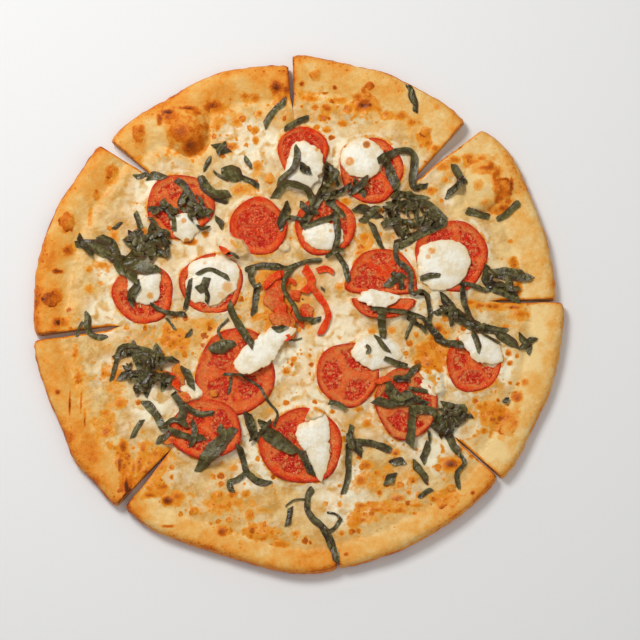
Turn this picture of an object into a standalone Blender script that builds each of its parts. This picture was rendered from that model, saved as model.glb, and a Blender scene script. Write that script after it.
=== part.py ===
"""A round caprese pizza, baked and cut into eight slices that still lie together.

Each slice is a crust with its own sheet of melted cheese. Tomato slices, torn mozzarella and
shreds of basil lie on top. Metres, +Z up, resting on z = 0 with its middle over the origin.
"""

import math

import bmesh
import bpy
import numpy as np
from mathutils import Vector, noise
from mathutils.bvhtree import BVHTree

# ---------------------------------------------------------------- driving dimensions
MM = 0.001
AIR = 0.35 * MM  # between pieces that touch
DOUGH_THICKNESS = 4.2 * MM
DOUGH_AT_CHEESE_EDGE = 5.0 * MM
CHEESE_THICKNESS = 2.5 * MM
CHEESE_EDGE_THICKNESS = 0.7 * MM
TIP_RADIUS = 2.2 * MM  # blunt tip of a slice
TOMATO_THICKNESS = 2.6 * MM
CHOPPED_THICKNESS = 3.0 * MM
TOMATO_SIDES = 14
LUMP_SIDES = 12
BASIL_THICKNESS = 0.8 * MM
SHRED_STEP = 6.0 * MM  # between the sections of a shred
SHRED_TIP = 0.62  # width of a shred's ends, as a share of its own
BASIL_SINK = 0.3 * MM  # how far a fused shred sits in the cheese
CORNER_ROUNDING = 2.0 * MM
CORNER_REACH = 3.0 * MM

# Plan positions are counted in steps, across from the left and down from the top.
STEP_ACROSS = 0.688 * MM
STEP_DOWN = 0.699 * MM
PLAN_MIDDLE = (299.0, 314.73)
CUTS_MEET = (303.0, 303.0)

# Rim section: (share of the bare rim's width, height in mm), from the cheese to the outermost line.
RIM_SECTION = (
    (0.15, 7.3),
    (0.35, 9.8),
    (0.55, 11.4),
    (0.75, 11.9),
    (0.89, 10.8),
    (0.965, 8.2),
    (1.0, 5.0),
)
UNDERCUT = (1.3 * MM, 1.6 * MM)  # inward, height
FOOT_INSET = 3.8 * MM
UNDER_CHEESE_ROWS = (0.0, 0.28, 0.56, 0.84, 1.0)
CHEESE_ROW_SHARE = (1.0, 1.0, 1.0, 0.92, 0.0)
COLUMNS = (0.0, 0.03, 0.11, 0.21, 0.32, 0.44, 0.56, 0.68, 0.79, 0.89, 0.97, 1.0)

# Slices, anticlockwise from the right. Angles in degrees, radii and bare rim widths in mm.
# A swing turns one cut side from a radius outward, where a slice has moved from its neighbour.
SLICES = {
    "3": {
        "start": -0.2,
        "end": 46.25,
        "end_swing": -2.5,
        "swing_from": 118,
        "rim": (175.1, 173.9, 173.8, 173.2, 175.0, 176.8, 173.9),
        "bare": 28,
        "extra_columns": (0.625, 0.735),
    },
    "2": {
        "start": 47.95,
        "end": 92.5,
        "rim": (169.5, 169.9, 169.3, 170.5, 169.5, 171.2, 174.0),
        "bare": 31,
    },
    "1": {
        "start": 93.5,
        "end": 140.1,
        "rim": (167.0, 168.2, 170.6, 170.6, 170.7, 173.7, 175.0),
        "bare": 30,
        "extra_columns": (0.62, 0.735),
    },
    "8": {
        "start": 141.1,
        "end": 187.9,
        "start_swing": 1.4,
        "swing_from": 140,
        "rim": (179.3, 178.6, 181.5, 183.2, 184.9, 185.2, 186.0),
        "bare": 27,
    },
    "7": {
        "start": 189.1,
        "end": 228.65,
        "rim": (188.2, 187.7, 187.4, 187.8, 192.0, 190.9, 192.4),
        "bare": 24,
    },
    "6": {
        "start": 230.0,
        "end": 277.3,
        "rim": (189.5, 189.2, 186.2, 185.0, 187.0, 189.7, 188.8),
        "bare": 20,
    },
    "5": {
        "start": 277.6,
        "end": 317.1,
        "rim": (188.3, 186.6, 186.1, 184.7, 184.4, 183.7, 182.9),
        "bare": 20,
    },
    "4": {
        "start": 317.55,
        "end": 359.1,
        "rim": (186.0, 183.6, 181.1, 181.4, 180.9, 180.3, 180.4),
        "bare": 26,
    },
}

# Bubbles in the crust: slice, plan position, half width across and down in mm, height in mm.
BUBBLES = (
    ("1", (187, 136), (14.5, 16.0), 7.5),
    ("3", (483, 190), (13.0, 18.5), 5.5),
    ("3", (503, 193), (8.0, 8.0), 2.0),
)
# Where the cheese stops short of a bubble: slice, angle, half angle in degrees, how far in mm.
CHEESE_BAYS = (("1", 124.2, 9.0, 15.0), ("3", 32.5, 9.5, 15.0))

# Tomato slices: middle in the plan, half width across and down in mm, turn in degrees.
TOMATOES = {
    "tomato_01": ((303, 156), (17.5, 18.5), 0),
    "tomato_02": ((371.5, 173.5), (22.0, 23.5), 10),
    "tomato_03": ((180, 210), (23.5, 22.5), 20),
    "tomato_04": ((258, 231), (20.0, 20.5), 0),
    "tomato_05": ((325, 230), (21.0, 21.0), 40),
    "tomato_06": ((144, 298), (21.0, 21.0), 0),
    "tomato_07": ((212, 288), (22.0, 21.0), 15),
    "tomato_10": ((452, 260), (25.0, 25.0), 30),
    "tomato_11": ((473, 367), (19.0, 20.5), 0),
    "tomato_12": ((236, 376), (27.0, 30.5), -12),
    "tomato_13": ((207, 433), (25.0, 20.5), 0),
    "tomato_14": ((302, 449), (28.5, 26.0), 5),
    "tomato_15": ((348, 378), (21.5, 22.5), 0),
    "tomato_16": ((406, 407), (21.5, 25.0), 0),
}
TOMATO_OUTLINES = {
    "tomato_09_upper": (
        ((349, 296), (350, 276), (361, 259), (380, 253)),
        ((400, 257), (413, 272), (417, 290), (412, 298)),
    ),
    "tomato_09_lower": (
        ((352, 303), (372, 305), (413, 303), (410, 314)),
        ((396, 321), (378, 323), (361, 318)),
    ),
}
# Chopped tomato over the point where the cuts meet.
TOMATO_HEAP = (
    ((275, 298), (7.6, 13.0), -8),
    ((286, 329), (7.5, 10.3), 15),
    ((281, 314), (5.0, 6.0), 0),
)

# Torn mozzarella: height in mm, then the outline in the plan.
MOZZARELLA = {
    "mozzarella_01": (
        3.4,
        ((291, 152), (304, 147), (317, 152), (321, 167), (318, 184)),
        ((307, 193), (292, 194), (281, 191), (284, 180), (288, 165)),
    ),
    "mozzarella_02": (
        3.6,
        ((340, 155), (356, 143), (373, 146), (382, 160)),
        ((377, 175), (362, 182), (345, 176)),
    ),
    "mozzarella_03": (
        3.0,
        ((171, 228), (181, 219), (194, 221), (199, 232), (192, 243), (178, 243)),
    ),
    "mozzarella_05": (
        3.4,
        ((305, 240), (311, 229), (324, 226), (338, 231)),
        ((344, 242), (333, 253), (316, 254)),
    ),
    "mozzarella_06": (
        3.6,
        ((128, 288), (136, 273), (150, 270), (161, 284)),
        ((158, 302), (145, 309), (133, 303)),
    ),
    "mozzarella_07": (
        3.2,
        ((188, 285), (194, 271), (207, 263), (222, 264), (235, 274)),
        ((237, 288), (227, 300), (214, 308), (199, 305), (191, 296)),
    ),
    "mozzarella_09": (
        2.6,
        ((361, 298), (374, 295), (389, 297), (399, 301)),
        ((391, 310), (374, 312), (362, 307)),
    ),
    "mozzarella_10": (
        4.2,
        ((419, 266), (427, 248), (446, 243), (463, 252)),
        ((468, 269), (459, 286), (441, 293), (425, 285)),
    ),
    "mozzarella_11": (
        3.4,
        ((457, 341), (471, 337), (487, 341), (499, 350)),
        ((500, 363), (493, 368), (477, 365), (464, 353)),
    ),
    "mozzarella_12": (
        3.2,
        ((241, 366), (248, 354), (258, 345), (270, 336), (285, 331)),
        ((291, 338), (278, 352), (273, 364), (258, 372), (247, 378)),
    ),
    "mozzarella_14": (
        3.6,
        ((297, 433), (305, 425), (318, 419), (326, 424), (329, 447)),
        ((327, 470), (321, 482), (314, 473), (307, 457), (300, 446)),
    ),
    "mozzarella_15": (
        3.8,
        ((353, 352), (366, 341), (384, 340), (399, 347)),
        ((399, 361), (387, 371), (369, 373), (356, 365)),
    ),
}

# Basil: each leaf or shred is (line in the plan, width in mm). The shreds of a clump cross each other.
BASIL = {
    "basil_left": (
        (((76, 250), (96, 252), (118, 263)), 5.5),
        (((100, 241), (112, 249), (118, 262)), 4.0),
        (((112, 261), (133, 270), (158, 278)), 8.0),
        (((115, 264), (124, 275), (138, 285)), 6.0),
        (((128, 238), (142, 250), (167, 258)), 7.0),
        (((150, 235), (144, 252), (130, 262), (118, 262)), 7.0),
        (((128, 250), (148, 246), (166, 244)), 5.0),
    ),
    "basil_lower_left": (
        (((118, 360), (140, 355), (162, 362)), 8.0),
        (((132, 348), (142, 372), (150, 398)), 9.0),
        (((120, 380), (140, 378), (172, 388)), 8.0),
        (((160, 350), (152, 372), (134, 396)), 7.0),
    ),
    "basil_upper_left": (
        (((201, 206), (213, 193), (231, 180)), 5.0),
        (((226, 171), (233, 178), (241, 182)), 11.0),
    ),
    "basil_tomato_3": (
        (((176, 184), (184, 190), (192, 204), (195, 217)), 5.0),
        (((150, 219), (164, 213), (184, 206)), 4.0),
        (((184, 205), (197, 211), (212, 223)), 4.0),
    ),
    "basil_top": (
        (((302, 232), (312, 214), (324, 193), (330, 176)), 5.5),
        (((305, 231), (320, 226), (335, 219), (331, 200)), 4.0),
        (((335, 217), (338, 240), (334, 258)), 4.0),
        (((274, 202), (286, 189), (306, 194), (314, 208)), 4.5),
        (((289, 207), (284, 220), (279, 233)), 5.5),
        (((279, 232), (290, 222), (306, 226)), 3.0),
        (((333, 254), (344, 268), (349, 287)), 4.0),
    ),
    "basil_left_edge": ((((89, 318), (88, 334), (106, 341)), 5.0),),
    "basil_tomato_2": (
        (((378, 166), (392, 160), (407, 154), (415, 161), (413, 188), (421, 192)), 4.8),
        (((386, 163), (392, 180), (399, 194)), 5.5),
    ),
    "basil_ring": (
        (((398, 202), (412, 200), (428, 204), (437, 216), (446, 226)), 5.0),
        (((446, 225), (424, 236), (396, 250)), 6.5),
        (((398, 202), (392, 215), (400, 230), (402, 247)), 5.5),
        (((384, 224), (396, 232), (405, 243)), 4.5),
        (((396, 248), (397, 264), (410, 277), (411, 292)), 4.5),
    ),
    "basil_right": (
        (((484, 276), (506, 281), (532, 284)), 7.0),
        (((484, 276), (490, 290), (503, 297), (517, 302)), 6.5),
        (((460, 288), (472, 290), (489, 293)), 3.5),
        (((462, 290), (464, 306), (470, 321), (481, 337)), 4.0),
        (((442, 309), (456, 319), (480, 334)), 7.5),
        (((478, 332), (492, 334), (506, 336)), 5.0),
    ),
    "basil_middle_right": (
        (((418, 298), (426, 304), (430, 320), (424, 334)), 3.6),
        (((371, 314), (396, 316), (418, 320), (428, 326)), 4.0),
        (((381, 315), (382, 330), (383, 342)), 5.0),
        (((415, 320), (410, 331), (405, 343)), 3.4),
        (((421, 322), (428, 335), (444, 345), (462, 349)), 4.5),
    ),
    "basil_lower_right": (
        (((375, 403), (391, 409), (417, 405)), 5.5),
        (((386, 389), (398, 396), (406, 408)), 6.0),
        (((404, 395), (416, 404), (430, 416), (441, 436)), 5.5),
        (((411, 408), (411, 425), (410, 448)), 5.5),
        (((430, 416), (448, 412), (466, 422)), 8.0),
        (((440, 432), (450, 436), (453, 449), (459, 456)), 5.5),
    ),
    "basil_middle": (
        (((322, 264), (301, 267), (288, 279), (284, 293), (294, 310), (300, 323), (313, 323)), 3.4),
        (((245, 274), (261, 270), (280, 271), (297, 275)), 4.4),
        (((253, 270), (251, 281), (257, 293)), 4.2),
    ),
    "basil_bottom": (
        (((313, 490), (308, 500), (310, 516), (327, 533), (333, 548), (337, 562)), 4.6),
        (((326, 531), (341, 522)), 2.8),
    ),
    "basil_tomato_14": (
        (((249, 416), (252, 430), (256, 444)), 6.5),
        (((250, 426), (266, 436), (281, 446), (296, 455)), 8.0),
        (((290, 450), (304, 462), (311, 476)), 6.0),
    ),
    "basil_bottom_left": (
        (((237, 432), (222, 448), (198, 472)), 9.0),
        (((146, 404), (158, 419), (167, 432), (190, 440), (221, 446)), 4.8),
        (((174, 397), (184, 414), (181, 427), (170, 437)), 5.0),
        (((184, 408), (200, 419), (218, 417)), 4.2),
        (((194, 420), (193, 434), (193, 450)), 3.6),
    ),
}
# Shreds fused to the cheese or the crust of one slice, in the same form.
SHREDS = {
    "cheese_1": (
        (((213, 157), (229, 146)), 5.0),
        (((264, 128), (283, 112)), 4.0),
    ),
    "cheese_2": ((((378, 128), (388, 140)), 4.0),),
    "cheese_3": ((((448, 181), (456, 190), (448, 199)), 4.6), (((460, 227), (474, 222)), 5.5)),
    "crust_3": ((((510, 218), (521, 206)), 3.6),),
    "cheese_4": ((((504, 343), (514, 350)), 5.0),),
    "crust_4": ((((528, 357), (534, 343)), 5.0),),
    "cheese_5": ((((349, 462), (346, 494)), 4.4), (((412, 466), (426, 482)), 5.0)),
    "cheese_6": ((((240, 470), (248, 480), (268, 487)), 3.6),),
    "cheese_7": ((((144, 424), (134, 441)), 4.2),),
}

# Colours, red green blue.
COLOURS = {
    "crust": ((0.72, 0.42, 0.16), 0.62),
    "cheese": ((0.80, 0.60, 0.34), 0.42),
    "tomato": ((0.66, 0.10, 0.035), 0.3),
    "mozzarella": ((0.86, 0.80, 0.66), 0.34),
    "basil": ((0.06, 0.065, 0.025), 0.5),
}


# ---------------------------------------------------------------- plan
def place(across, down):
    """A plan position as metres from the middle."""
    x = (across - PLAN_MIDDLE[0]) * STEP_ACROSS
    y = (PLAN_MIDDLE[1] - down) * STEP_DOWN
    return x, y


def smooth_through(values, share):
    """The value at a share of the way along evenly spaced values, on a smooth curve."""
    last = len(values) - 1
    along = min(max(share, 0.0), 1.0) * last
    index = min(int(along), last - 1)
    t = along - index
    before = values[max(index - 1, 0)]
    here = values[index]
    there = values[index + 1]
    after = values[min(index + 2, last)]
    slope_here = (there - before) / 2
    slope_there = (after - here) / 2
    square = t * t
    cube = square * t
    return (
        (2 * cube - 3 * square + 1) * here
        + (cube - 2 * square + t) * slope_here
        + (3 * square - 2 * cube) * there
        + (cube - square) * slope_there
    )


def ease(share):
    share = min(max(share, 0.0), 1.0)
    return share * share * (3 - 2 * share)


def roughness(x, y, size, layer):
    """Smooth unevenness from -1 to 1, with bumps about this size."""
    return noise.noise(Vector((x / size, y / size, layer)))


def sides_at(cut, radius):
    """The two side angles of a slice at this radius, in degrees."""
    swing_from = cut.get("swing_from", 170) * MM
    turned = ease((radius - swing_from) / (175 * MM - swing_from))
    start = cut["start"] + cut.get("start_swing", 0) * turned
    end = cut["end"] + cut.get("end_swing", 0) * turned
    return start, end


def in_slice(cut, share, radius):
    """The plan point at this share of the way from a slice's start side to its end side."""
    start, end = sides_at(cut, radius)
    angle = math.radians(start + (end - start) * share)
    inward = 0.55 * AIR * (1 - 2 * share)
    middle = place(*CUTS_MEET)
    x = middle[0] + radius * math.cos(angle) - inward * math.sin(angle)
    y = middle[1] + radius * math.sin(angle) + inward * math.cos(angle)
    return x, y


def rim_radius(cut, share):
    radius = smooth_through(cut["rim"], share) * MM
    width = radius * math.radians(cut["end"] - cut["start"])
    from_side = min(share, 1 - share) * width
    return radius - CORNER_ROUNDING * math.exp(-from_side / CORNER_REACH)


def cheese_radius(name, cut, share):
    """How far out the cheese reaches."""
    angle = cut["start"] + (cut["end"] - cut["start"]) * share
    radius = rim_radius(cut, 0.02 + 0.96 * share) - cut["bare"] * MM
    turn = math.radians(angle)
    radius += 2.2 * MM * noise.noise(Vector((3 * math.cos(turn), 3 * math.sin(turn), 4.0)))
    for slice_name, bay_angle, half, depth in CHEESE_BAYS:
        if slice_name == name:
            radius -= depth * MM * ease(1.6 * (1 - abs(angle - bay_angle) / half))
    return radius


def bubble_rise(name, x, y):
    rise = 0.0
    for slice_name, middle, half, height in BUBBLES:
        if slice_name != name:
            continue
        at = place(*middle)
        far = math.hypot((x - at[0]) / (half[0] * MM), (y - at[1]) / (half[1] * MM))
        if far < 1:
            rise += height * MM * math.cos(far * math.pi / 2) ** 1.3
    return rise


# ---------------------------------------------------------------- building tools
def new_collection(name):
    group = bpy.data.collections.new(name)
    bpy.context.scene.collection.children.link(group)
    return group


def material(name):
    found = bpy.data.materials.get(name)
    if found:
        return found
    colour, rough = COLOURS[name]
    made = bpy.data.materials.new(name)
    made.use_nodes = True
    shader = made.node_tree.nodes["Principled BSDF"]
    shader.inputs["Base Color"].default_value = (*colour, 1.0)
    shader.inputs["Roughness"].default_value = rough
    made.diffuse_color = (*colour, 1.0)
    return made


def object_from(name, bm, group, slot):
    bmesh.ops.recalc_face_normals(bm, faces=bm.faces[:])
    bmesh.ops.triangulate(bm, faces=bm.faces[:])
    mesh = bpy.data.meshes.new(name)
    bm.to_mesh(mesh)
    bm.free()
    made = bpy.data.objects.new(name, mesh)
    made.data.materials.append(material(slot))
    group.objects.link(made)
    return made


def loft(name, rings, group, slot):
    """A closed body through rings of points, with its two ends filled."""
    bm = bmesh.new()
    rows = [[bm.verts.new(point) for point in ring] for ring in rings]
    for low, high in zip(rows, rows[1:]):
        for index in range(len(low)):
            after = (index + 1) % len(low)
            bm.faces.new((low[index], low[after], high[after]))
            bm.faces.new((low[index], high[after], high[index]))
    bm.faces.new(rows[0][::-1])
    bm.faces.new(rows[-1])
    return object_from(name, bm, group, slot)


def thin_sheet(name, columns, rows, top, bottom, group, slot):
    """A closed body between two surfaces of the same grid, both split into triangles alike."""
    bm = bmesh.new()
    bmesh.ops.create_grid(bm, x_segments=columns - 1, y_segments=rows - 1, size=1.0)
    bmesh.ops.triangulate(bm, faces=bm.faces[:], quad_method="FIXED")
    raised = bmesh.ops.extrude_face_region(bm, geom=bm.faces[:], use_keep_orig=True)
    upper = [item for item in raised["geom"] if isinstance(item, bmesh.types.BMVert)]
    for vert in upper:
        vert.co.z = 1.0
    for vert in bm.verts:
        column = round((vert.co.x + 1) / 2 * (columns - 1))
        row = round((vert.co.y + 1) / 2 * (rows - 1))
        surface = top if vert.co.z > 0.5 else bottom
        vert.co = surface[row][column]
    return object_from(name, bm, group, slot)


class Pile:
    """What lies there so far. It answers how high a plan position is."""

    def __init__(self):
        self.trees = []

    def add(self, made):
        corners = [Vector(corner) for corner in made.bound_box]
        low = [min(corner[axis] for corner in corners) for axis in range(2)]
        high = [max(corner[axis] for corner in corners) for axis in range(2)]
        points = [vert.co.copy() for vert in made.data.vertices]
        faces = [tuple(face.vertices) for face in made.data.polygons]
        tree = BVHTree.FromPolygons(points, faces)
        self.trees.append((low, high, tree))

    def height(self, x, y):
        best = 0.0
        start = Vector((x, y, 0.1))
        for low, high, tree in self.trees:
            if low[0] <= x <= high[0] and low[1] <= y <= high[1]:
                hit = tree.ray_cast(start, Vector((0, 0, -1)))[0]
                if hit is not None:
                    best = max(best, hit.z)
        return best

    def highest_near(self, x, y, reach):
        best = self.height(x, y)
        for ring in (0.5, 1.0):
            for step in range(8):
                angle = step * math.pi / 4 + ring
                near_x = x + ring * reach * math.cos(angle)
                near_y = y + ring * reach * math.sin(angle)
                best = max(best, self.height(near_x, near_y))
        return best

    def tilted_floor(self, outline):
        """A plane (height, slope across, slope up) that clears everything inside the outline."""
        middle = np.mean(outline, axis=0)
        corners = np.array(outline)
        halfway = (corners + np.roll(corners, 1, axis=0)) / 2
        samples = []
        for share in np.linspace(0.0, 1.06, 13):
            for point in (*corners, *halfway):
                x, y = middle + share * (point - middle)
                samples.append((x, y, self.height(x, y)))
        samples = np.array(samples)
        flat = np.column_stack((np.ones(len(samples)), samples[:, :2]))
        plane = np.linalg.lstsq(flat, samples[:, 2], rcond=None)[0]
        plane[0] += (samples[:, 2] - flat @ plane).max() + AIR
        return plane


def between(a, b, c, d, t):
    """The point at a share t of the way from b to c on a smooth curve through a, b, c and d."""
    bend = 2 * a - 5 * b + 4 * c - d
    twist = 3 * b - a - 3 * c + d
    return 0.5 * (2 * b + (c - a) * t + bend * t**2 + twist * t**3)


def closed_outline(points, segments):
    """Evenly spread points on a smooth closed line through these plan positions, in metres."""
    corners = [Vector(place(*point)) for point in points]
    count = len(corners)
    dense = []
    for index in range(count):
        a, b, c, d = (corners[(index + shift) % count] for shift in (-1, 0, 1, 2))
        for step in range(8):
            dense.append(between(a, b, c, d, step / 8))
    lengths = [(dense[(i + 1) % len(dense)] - dense[i]).length for i in range(len(dense))]
    total = sum(lengths)
    spread = []
    walked = 0.0
    index = 0
    for step in range(segments):
        target = total * step / segments
        while walked + lengths[index] < target:
            walked += lengths[index]
            index += 1
        share = (target - walked) / lengths[index]
        start = dense[index]
        end = dense[(index + 1) % len(dense)]
        spread.append(tuple(start + (end - start) * share))
    if signed_area(spread) < 0:
        spread.reverse()
    return spread


def signed_area(outline):
    total = 0.0
    for (ax, ay), (bx, by) in zip(outline, outline[1:] + outline[:1]):
        total += ax * by - bx * ay
    return total / 2


def oval_outline(middle, half, turn, seed, segments):
    """A slightly uneven oval, in metres."""
    x, y = place(*middle)
    turned = math.radians(turn)
    outline = []
    for step in range(segments):
        angle = 2 * math.pi * step / segments
        uneven = 1 + 0.03 * math.sin(3 * angle + seed) + 0.02 * math.sin(5 * angle + 2.3 * seed)
        across = half[0] * MM * uneven * math.cos(angle)
        up = half[1] * MM * uneven * math.sin(angle)
        outline.append(
            (
                x + across * math.cos(turned) - up * math.sin(turned),
                y + across * math.sin(turned) + up * math.cos(turned),
            )
        )
    return outline


def stacked_rings(outline, levels, plane):
    """Rings over an outline. Each level is (share of the width, height), above a tilted floor."""
    middle = np.mean(outline, axis=0)
    rings = []
    for share, height in levels:
        ring = []
        for point in outline:
            x, y = middle + share * (np.array(point) - middle)
            ring.append((x, y, plane[0] + plane[1] * x + plane[2] * y + height))
        rings.append(ring)
    return rings


def unite(base, others):
    """Fuses the others to the base with a Boolean union on a collection, then removes them."""
    helpers = new_collection("fused_pieces")
    for other in others:
        for holder in list(other.users_collection):
            holder.objects.unlink(other)
        helpers.objects.link(other)
    join = base.modifiers.new("join", "BOOLEAN")
    join.operation = "UNION"
    join.operand_type = "COLLECTION"
    join.collection = helpers
    join.solver = "MANIFOLD"
    bpy.ops.object.select_all(action="DESELECT")
    bpy.context.view_layer.objects.active = base
    base.select_set(True)
    bpy.ops.object.modifier_apply(modifier=join.name)
    for other in others:
        bpy.data.objects.remove(other)
    bpy.data.collections.remove(helpers)
    return base


# ---------------------------------------------------------------- crust and cheese
def slice_columns(cut):
    return sorted(COLUMNS + cut.get("extra_columns", ()))


def dough_height(name, x, y, row_share):
    base = DOUGH_THICKNESS + 0.3 * MM * roughness(x, y, 0.04, 1.0)
    base += (DOUGH_AT_CHEESE_EDGE - DOUGH_THICKNESS) * ease((row_share - 0.7) / 0.3)
    return base + bubble_rise(name, x, y)


def rim_height(name, x, y, height):
    lift = 1.0 + 0.14 * roughness(x, y, 0.05, 2.0)
    above = (height * MM - DOUGH_AT_CHEESE_EDGE) * lift
    return DOUGH_AT_CHEESE_EDGE + above + bubble_rise(name, x, y)


def crust(name, cut, group):
    """One closed section for each column: up over the rim, down its outside and back below."""
    rings = []
    for share in slice_columns(cut):
        rim = rim_radius(cut, share)
        cheese_edge = cheese_radius(name, cut, share)
        ring = []
        for row_share in UNDER_CHEESE_ROWS:
            radius = TIP_RADIUS + row_share * (cheese_edge - TIP_RADIUS)
            x, y = in_slice(cut, share, radius)
            ring.append((x, y, dough_height(name, x, y, row_share)))
        for row_share, height in RIM_SECTION:
            x, y = in_slice(cut, share, cheese_edge + row_share * (rim - cheese_edge))
            ring.append((x, y, rim_height(name, x, y, height)))
        x, y = in_slice(cut, share, rim - UNDERCUT[0])
        ring.append((x, y, UNDERCUT[1]))
        for radius in (rim - FOOT_INSET, 118 * MM, TIP_RADIUS):
            x, y = in_slice(cut, share, radius)
            ring.append((x, y, 0.0))
        rings.append(ring)
    return loft("crust_" + name, rings, group, "crust")


def cheese(name, cut, group):
    top = []
    bottom = []
    columns = slice_columns(cut)
    for row_share, full in zip(UNDER_CHEESE_ROWS, CHEESE_ROW_SHARE):
        top_row = []
        bottom_row = []
        for share in columns:
            cheese_edge = cheese_radius(name, cut, share)
            radius = TIP_RADIUS + row_share * (cheese_edge - TIP_RADIUS)
            x, y = in_slice(cut, share, radius)
            thickness = CHEESE_EDGE_THICKNESS + full * (CHEESE_THICKNESS - CHEESE_EDGE_THICKNESS)
            thickness += full * 0.35 * MM * roughness(x, y, 0.022, 3.0)
            low = dough_height(name, x, y, row_share) + AIR
            bottom_row.append((x, y, low))
            top_row.append((x, y, low + thickness))
        top.append(top_row)
        bottom.append(bottom_row)
    return thin_sheet("cheese_" + name, len(columns), len(top), top, bottom, group, "cheese")


# ---------------------------------------------------------------- toppings
def tomato(name, outline, pile, group, thickness=TOMATO_THICKNESS):
    """A slice of tomato: a rounded skin edge round a slightly sunken middle."""
    plane = pile.tilted_floor(outline)
    levels = (
        (0.94, 0.0),
        (1.0, 0.45 * thickness),
        (0.95, thickness),
        (0.78, 0.78 * thickness),
    )
    return loft(name, stacked_rings(outline, levels, plane), group, "tomato")


def mozzarella(name, outline, height, pile, group):
    """A melted lump with a soft domed top."""
    plane = pile.tilted_floor(outline)
    levels = (
        (0.88, 0.0),
        (1.0, 0.28 * height),
        (0.88, 0.72 * height),
        (0.5, height),
    )
    return loft(name, stacked_rings(outline, levels, plane), group, "mozzarella")


def smooth_line(points, spacing):
    """Points about this far apart on a smooth line through these plan positions, in metres."""
    corners = [Vector(place(*point)) for point in points]
    corners = [2 * corners[0] - corners[1], *corners, 2 * corners[-1] - corners[-2]]
    line = []
    for a, b, c, d in zip(corners, corners[1:], corners[2:], corners[3:]):
        steps = max(1, round((c - b).length / spacing))
        for step in range(steps):
            line.append(between(a, b, c, d, step / steps))
    line.append(corners[-2])
    return line


def shred(name, points, width, pile, group, sink=None):
    """A flat wavy shred of leaf along a line, narrow at both ends."""
    line = smooth_line(points, SHRED_STEP)
    half = width * MM / 2
    top = []
    bottom = []
    last = len(line) - 1
    for index, point in enumerate(line):
        ahead = line[min(index + 1, last)] - line[max(index - 1, 0)]
        aside = Vector((-ahead.y, ahead.x)).normalized()
        narrow = SHRED_TIP if index in (0, last) else 1.0
        left = point + aside * half * narrow
        right = point - aside * half * narrow
        if sink is None:
            low = max(pile.highest_near(*spot, SHRED_STEP) for spot in (left, point, right)) + AIR
            low = (low, low)
        else:
            low = (pile.height(*left) - sink, pile.height(*right) - sink)
        bottom.append(((*left, low[0]), (*right, low[1])))
        top.append(
            (
                (*left, low[0] + BASIL_THICKNESS),
                (*right, low[1] + BASIL_THICKNESS),
            )
        )
    return thin_sheet(name, 2, len(line), top, bottom, group, "basil")


def clump(name, shreds, pile, group):
    made = []
    for index, (points, width) in enumerate(shreds):
        made.append(shred(f"{name}_{index}", points, width, pile, group))
    base = made[0]
    if len(made) > 1:
        unite(base, made[1:])
    base.name = name
    base.data.name = name
    return base


def build():
    for old in list(bpy.data.objects):
        bpy.data.objects.remove(old)
    group = new_collection("caprese_pizza")
    pile = Pile()
    for name in sorted(SLICES):
        pile.add(crust(name, SLICES[name], group))
    for name in sorted(SLICES):
        pile.add(cheese(name, SLICES[name], group))
    for name, shreds in SHREDS.items():
        pieces = []
        for index, (points, width) in enumerate(shreds):
            pieces.append(shred(f"{name}_shred_{index}", points, width, pile, group, sink=BASIL_SINK))
        unite(group.objects[name], pieces)
    for seed, (name, (middle, half, turn)) in enumerate(TOMATOES.items()):
        outline = oval_outline(middle, half, turn, seed, TOMATO_SIDES)
        pile.add(tomato(name, outline, pile, group))
    for name, halves in TOMATO_OUTLINES.items():
        pile.add(tomato(name, closed_outline(sum(halves, ()), TOMATO_SIDES), pile, group))
    heap = []
    for seed, (middle, half, turn) in enumerate(TOMATO_HEAP):
        outline = oval_outline(middle, half, turn, seed, LUMP_SIDES)
        heap.append(tomato(f"tomato_bit_{seed}", outline, pile, group, CHOPPED_THICKNESS))
    unite(heap[0], heap[1:])
    heap[0].name = "tomato_chopped"
    pile.add(heap[0])
    for name, (height, *halves) in MOZZARELLA.items():
        outline = closed_outline(sum(halves, ()), LUMP_SIDES)
        pile.add(mozzarella(name, outline, height * MM, pile, group))
    for name, shreds in BASIL.items():
        pile.add(clump(name, shreds, pile, group))


build()
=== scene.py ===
"""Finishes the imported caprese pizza: baked crust, melted cheese, tomato, mozzarella and basil.

Lengths are counted in millimetres while a piece is shaped, and set in metres in its mesh.
"""

import functools
import math

import bpy
import numpy as np
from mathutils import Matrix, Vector, noise


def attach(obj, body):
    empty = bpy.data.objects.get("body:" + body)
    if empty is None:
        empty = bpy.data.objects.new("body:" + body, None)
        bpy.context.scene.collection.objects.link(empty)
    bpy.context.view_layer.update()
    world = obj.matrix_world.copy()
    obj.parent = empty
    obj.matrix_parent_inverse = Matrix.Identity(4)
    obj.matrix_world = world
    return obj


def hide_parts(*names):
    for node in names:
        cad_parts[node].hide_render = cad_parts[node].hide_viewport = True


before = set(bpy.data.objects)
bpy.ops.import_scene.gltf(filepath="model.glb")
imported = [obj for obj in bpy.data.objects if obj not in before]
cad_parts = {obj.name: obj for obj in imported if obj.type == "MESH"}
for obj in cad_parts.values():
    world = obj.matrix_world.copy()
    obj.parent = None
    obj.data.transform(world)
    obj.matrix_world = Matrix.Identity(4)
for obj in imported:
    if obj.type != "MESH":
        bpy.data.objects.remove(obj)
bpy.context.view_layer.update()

bl_info = {
    "name": "Caprese pizza",
    "version": (1, 0, 0),
    "blender": (4, 5, 0),
    "location": "View3D > Sidebar > Pizza",
    "description": "Makes the baked crust, cheese and toppings of a sliced caprese pizza",
    "category": "Add Mesh",
}

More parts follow.
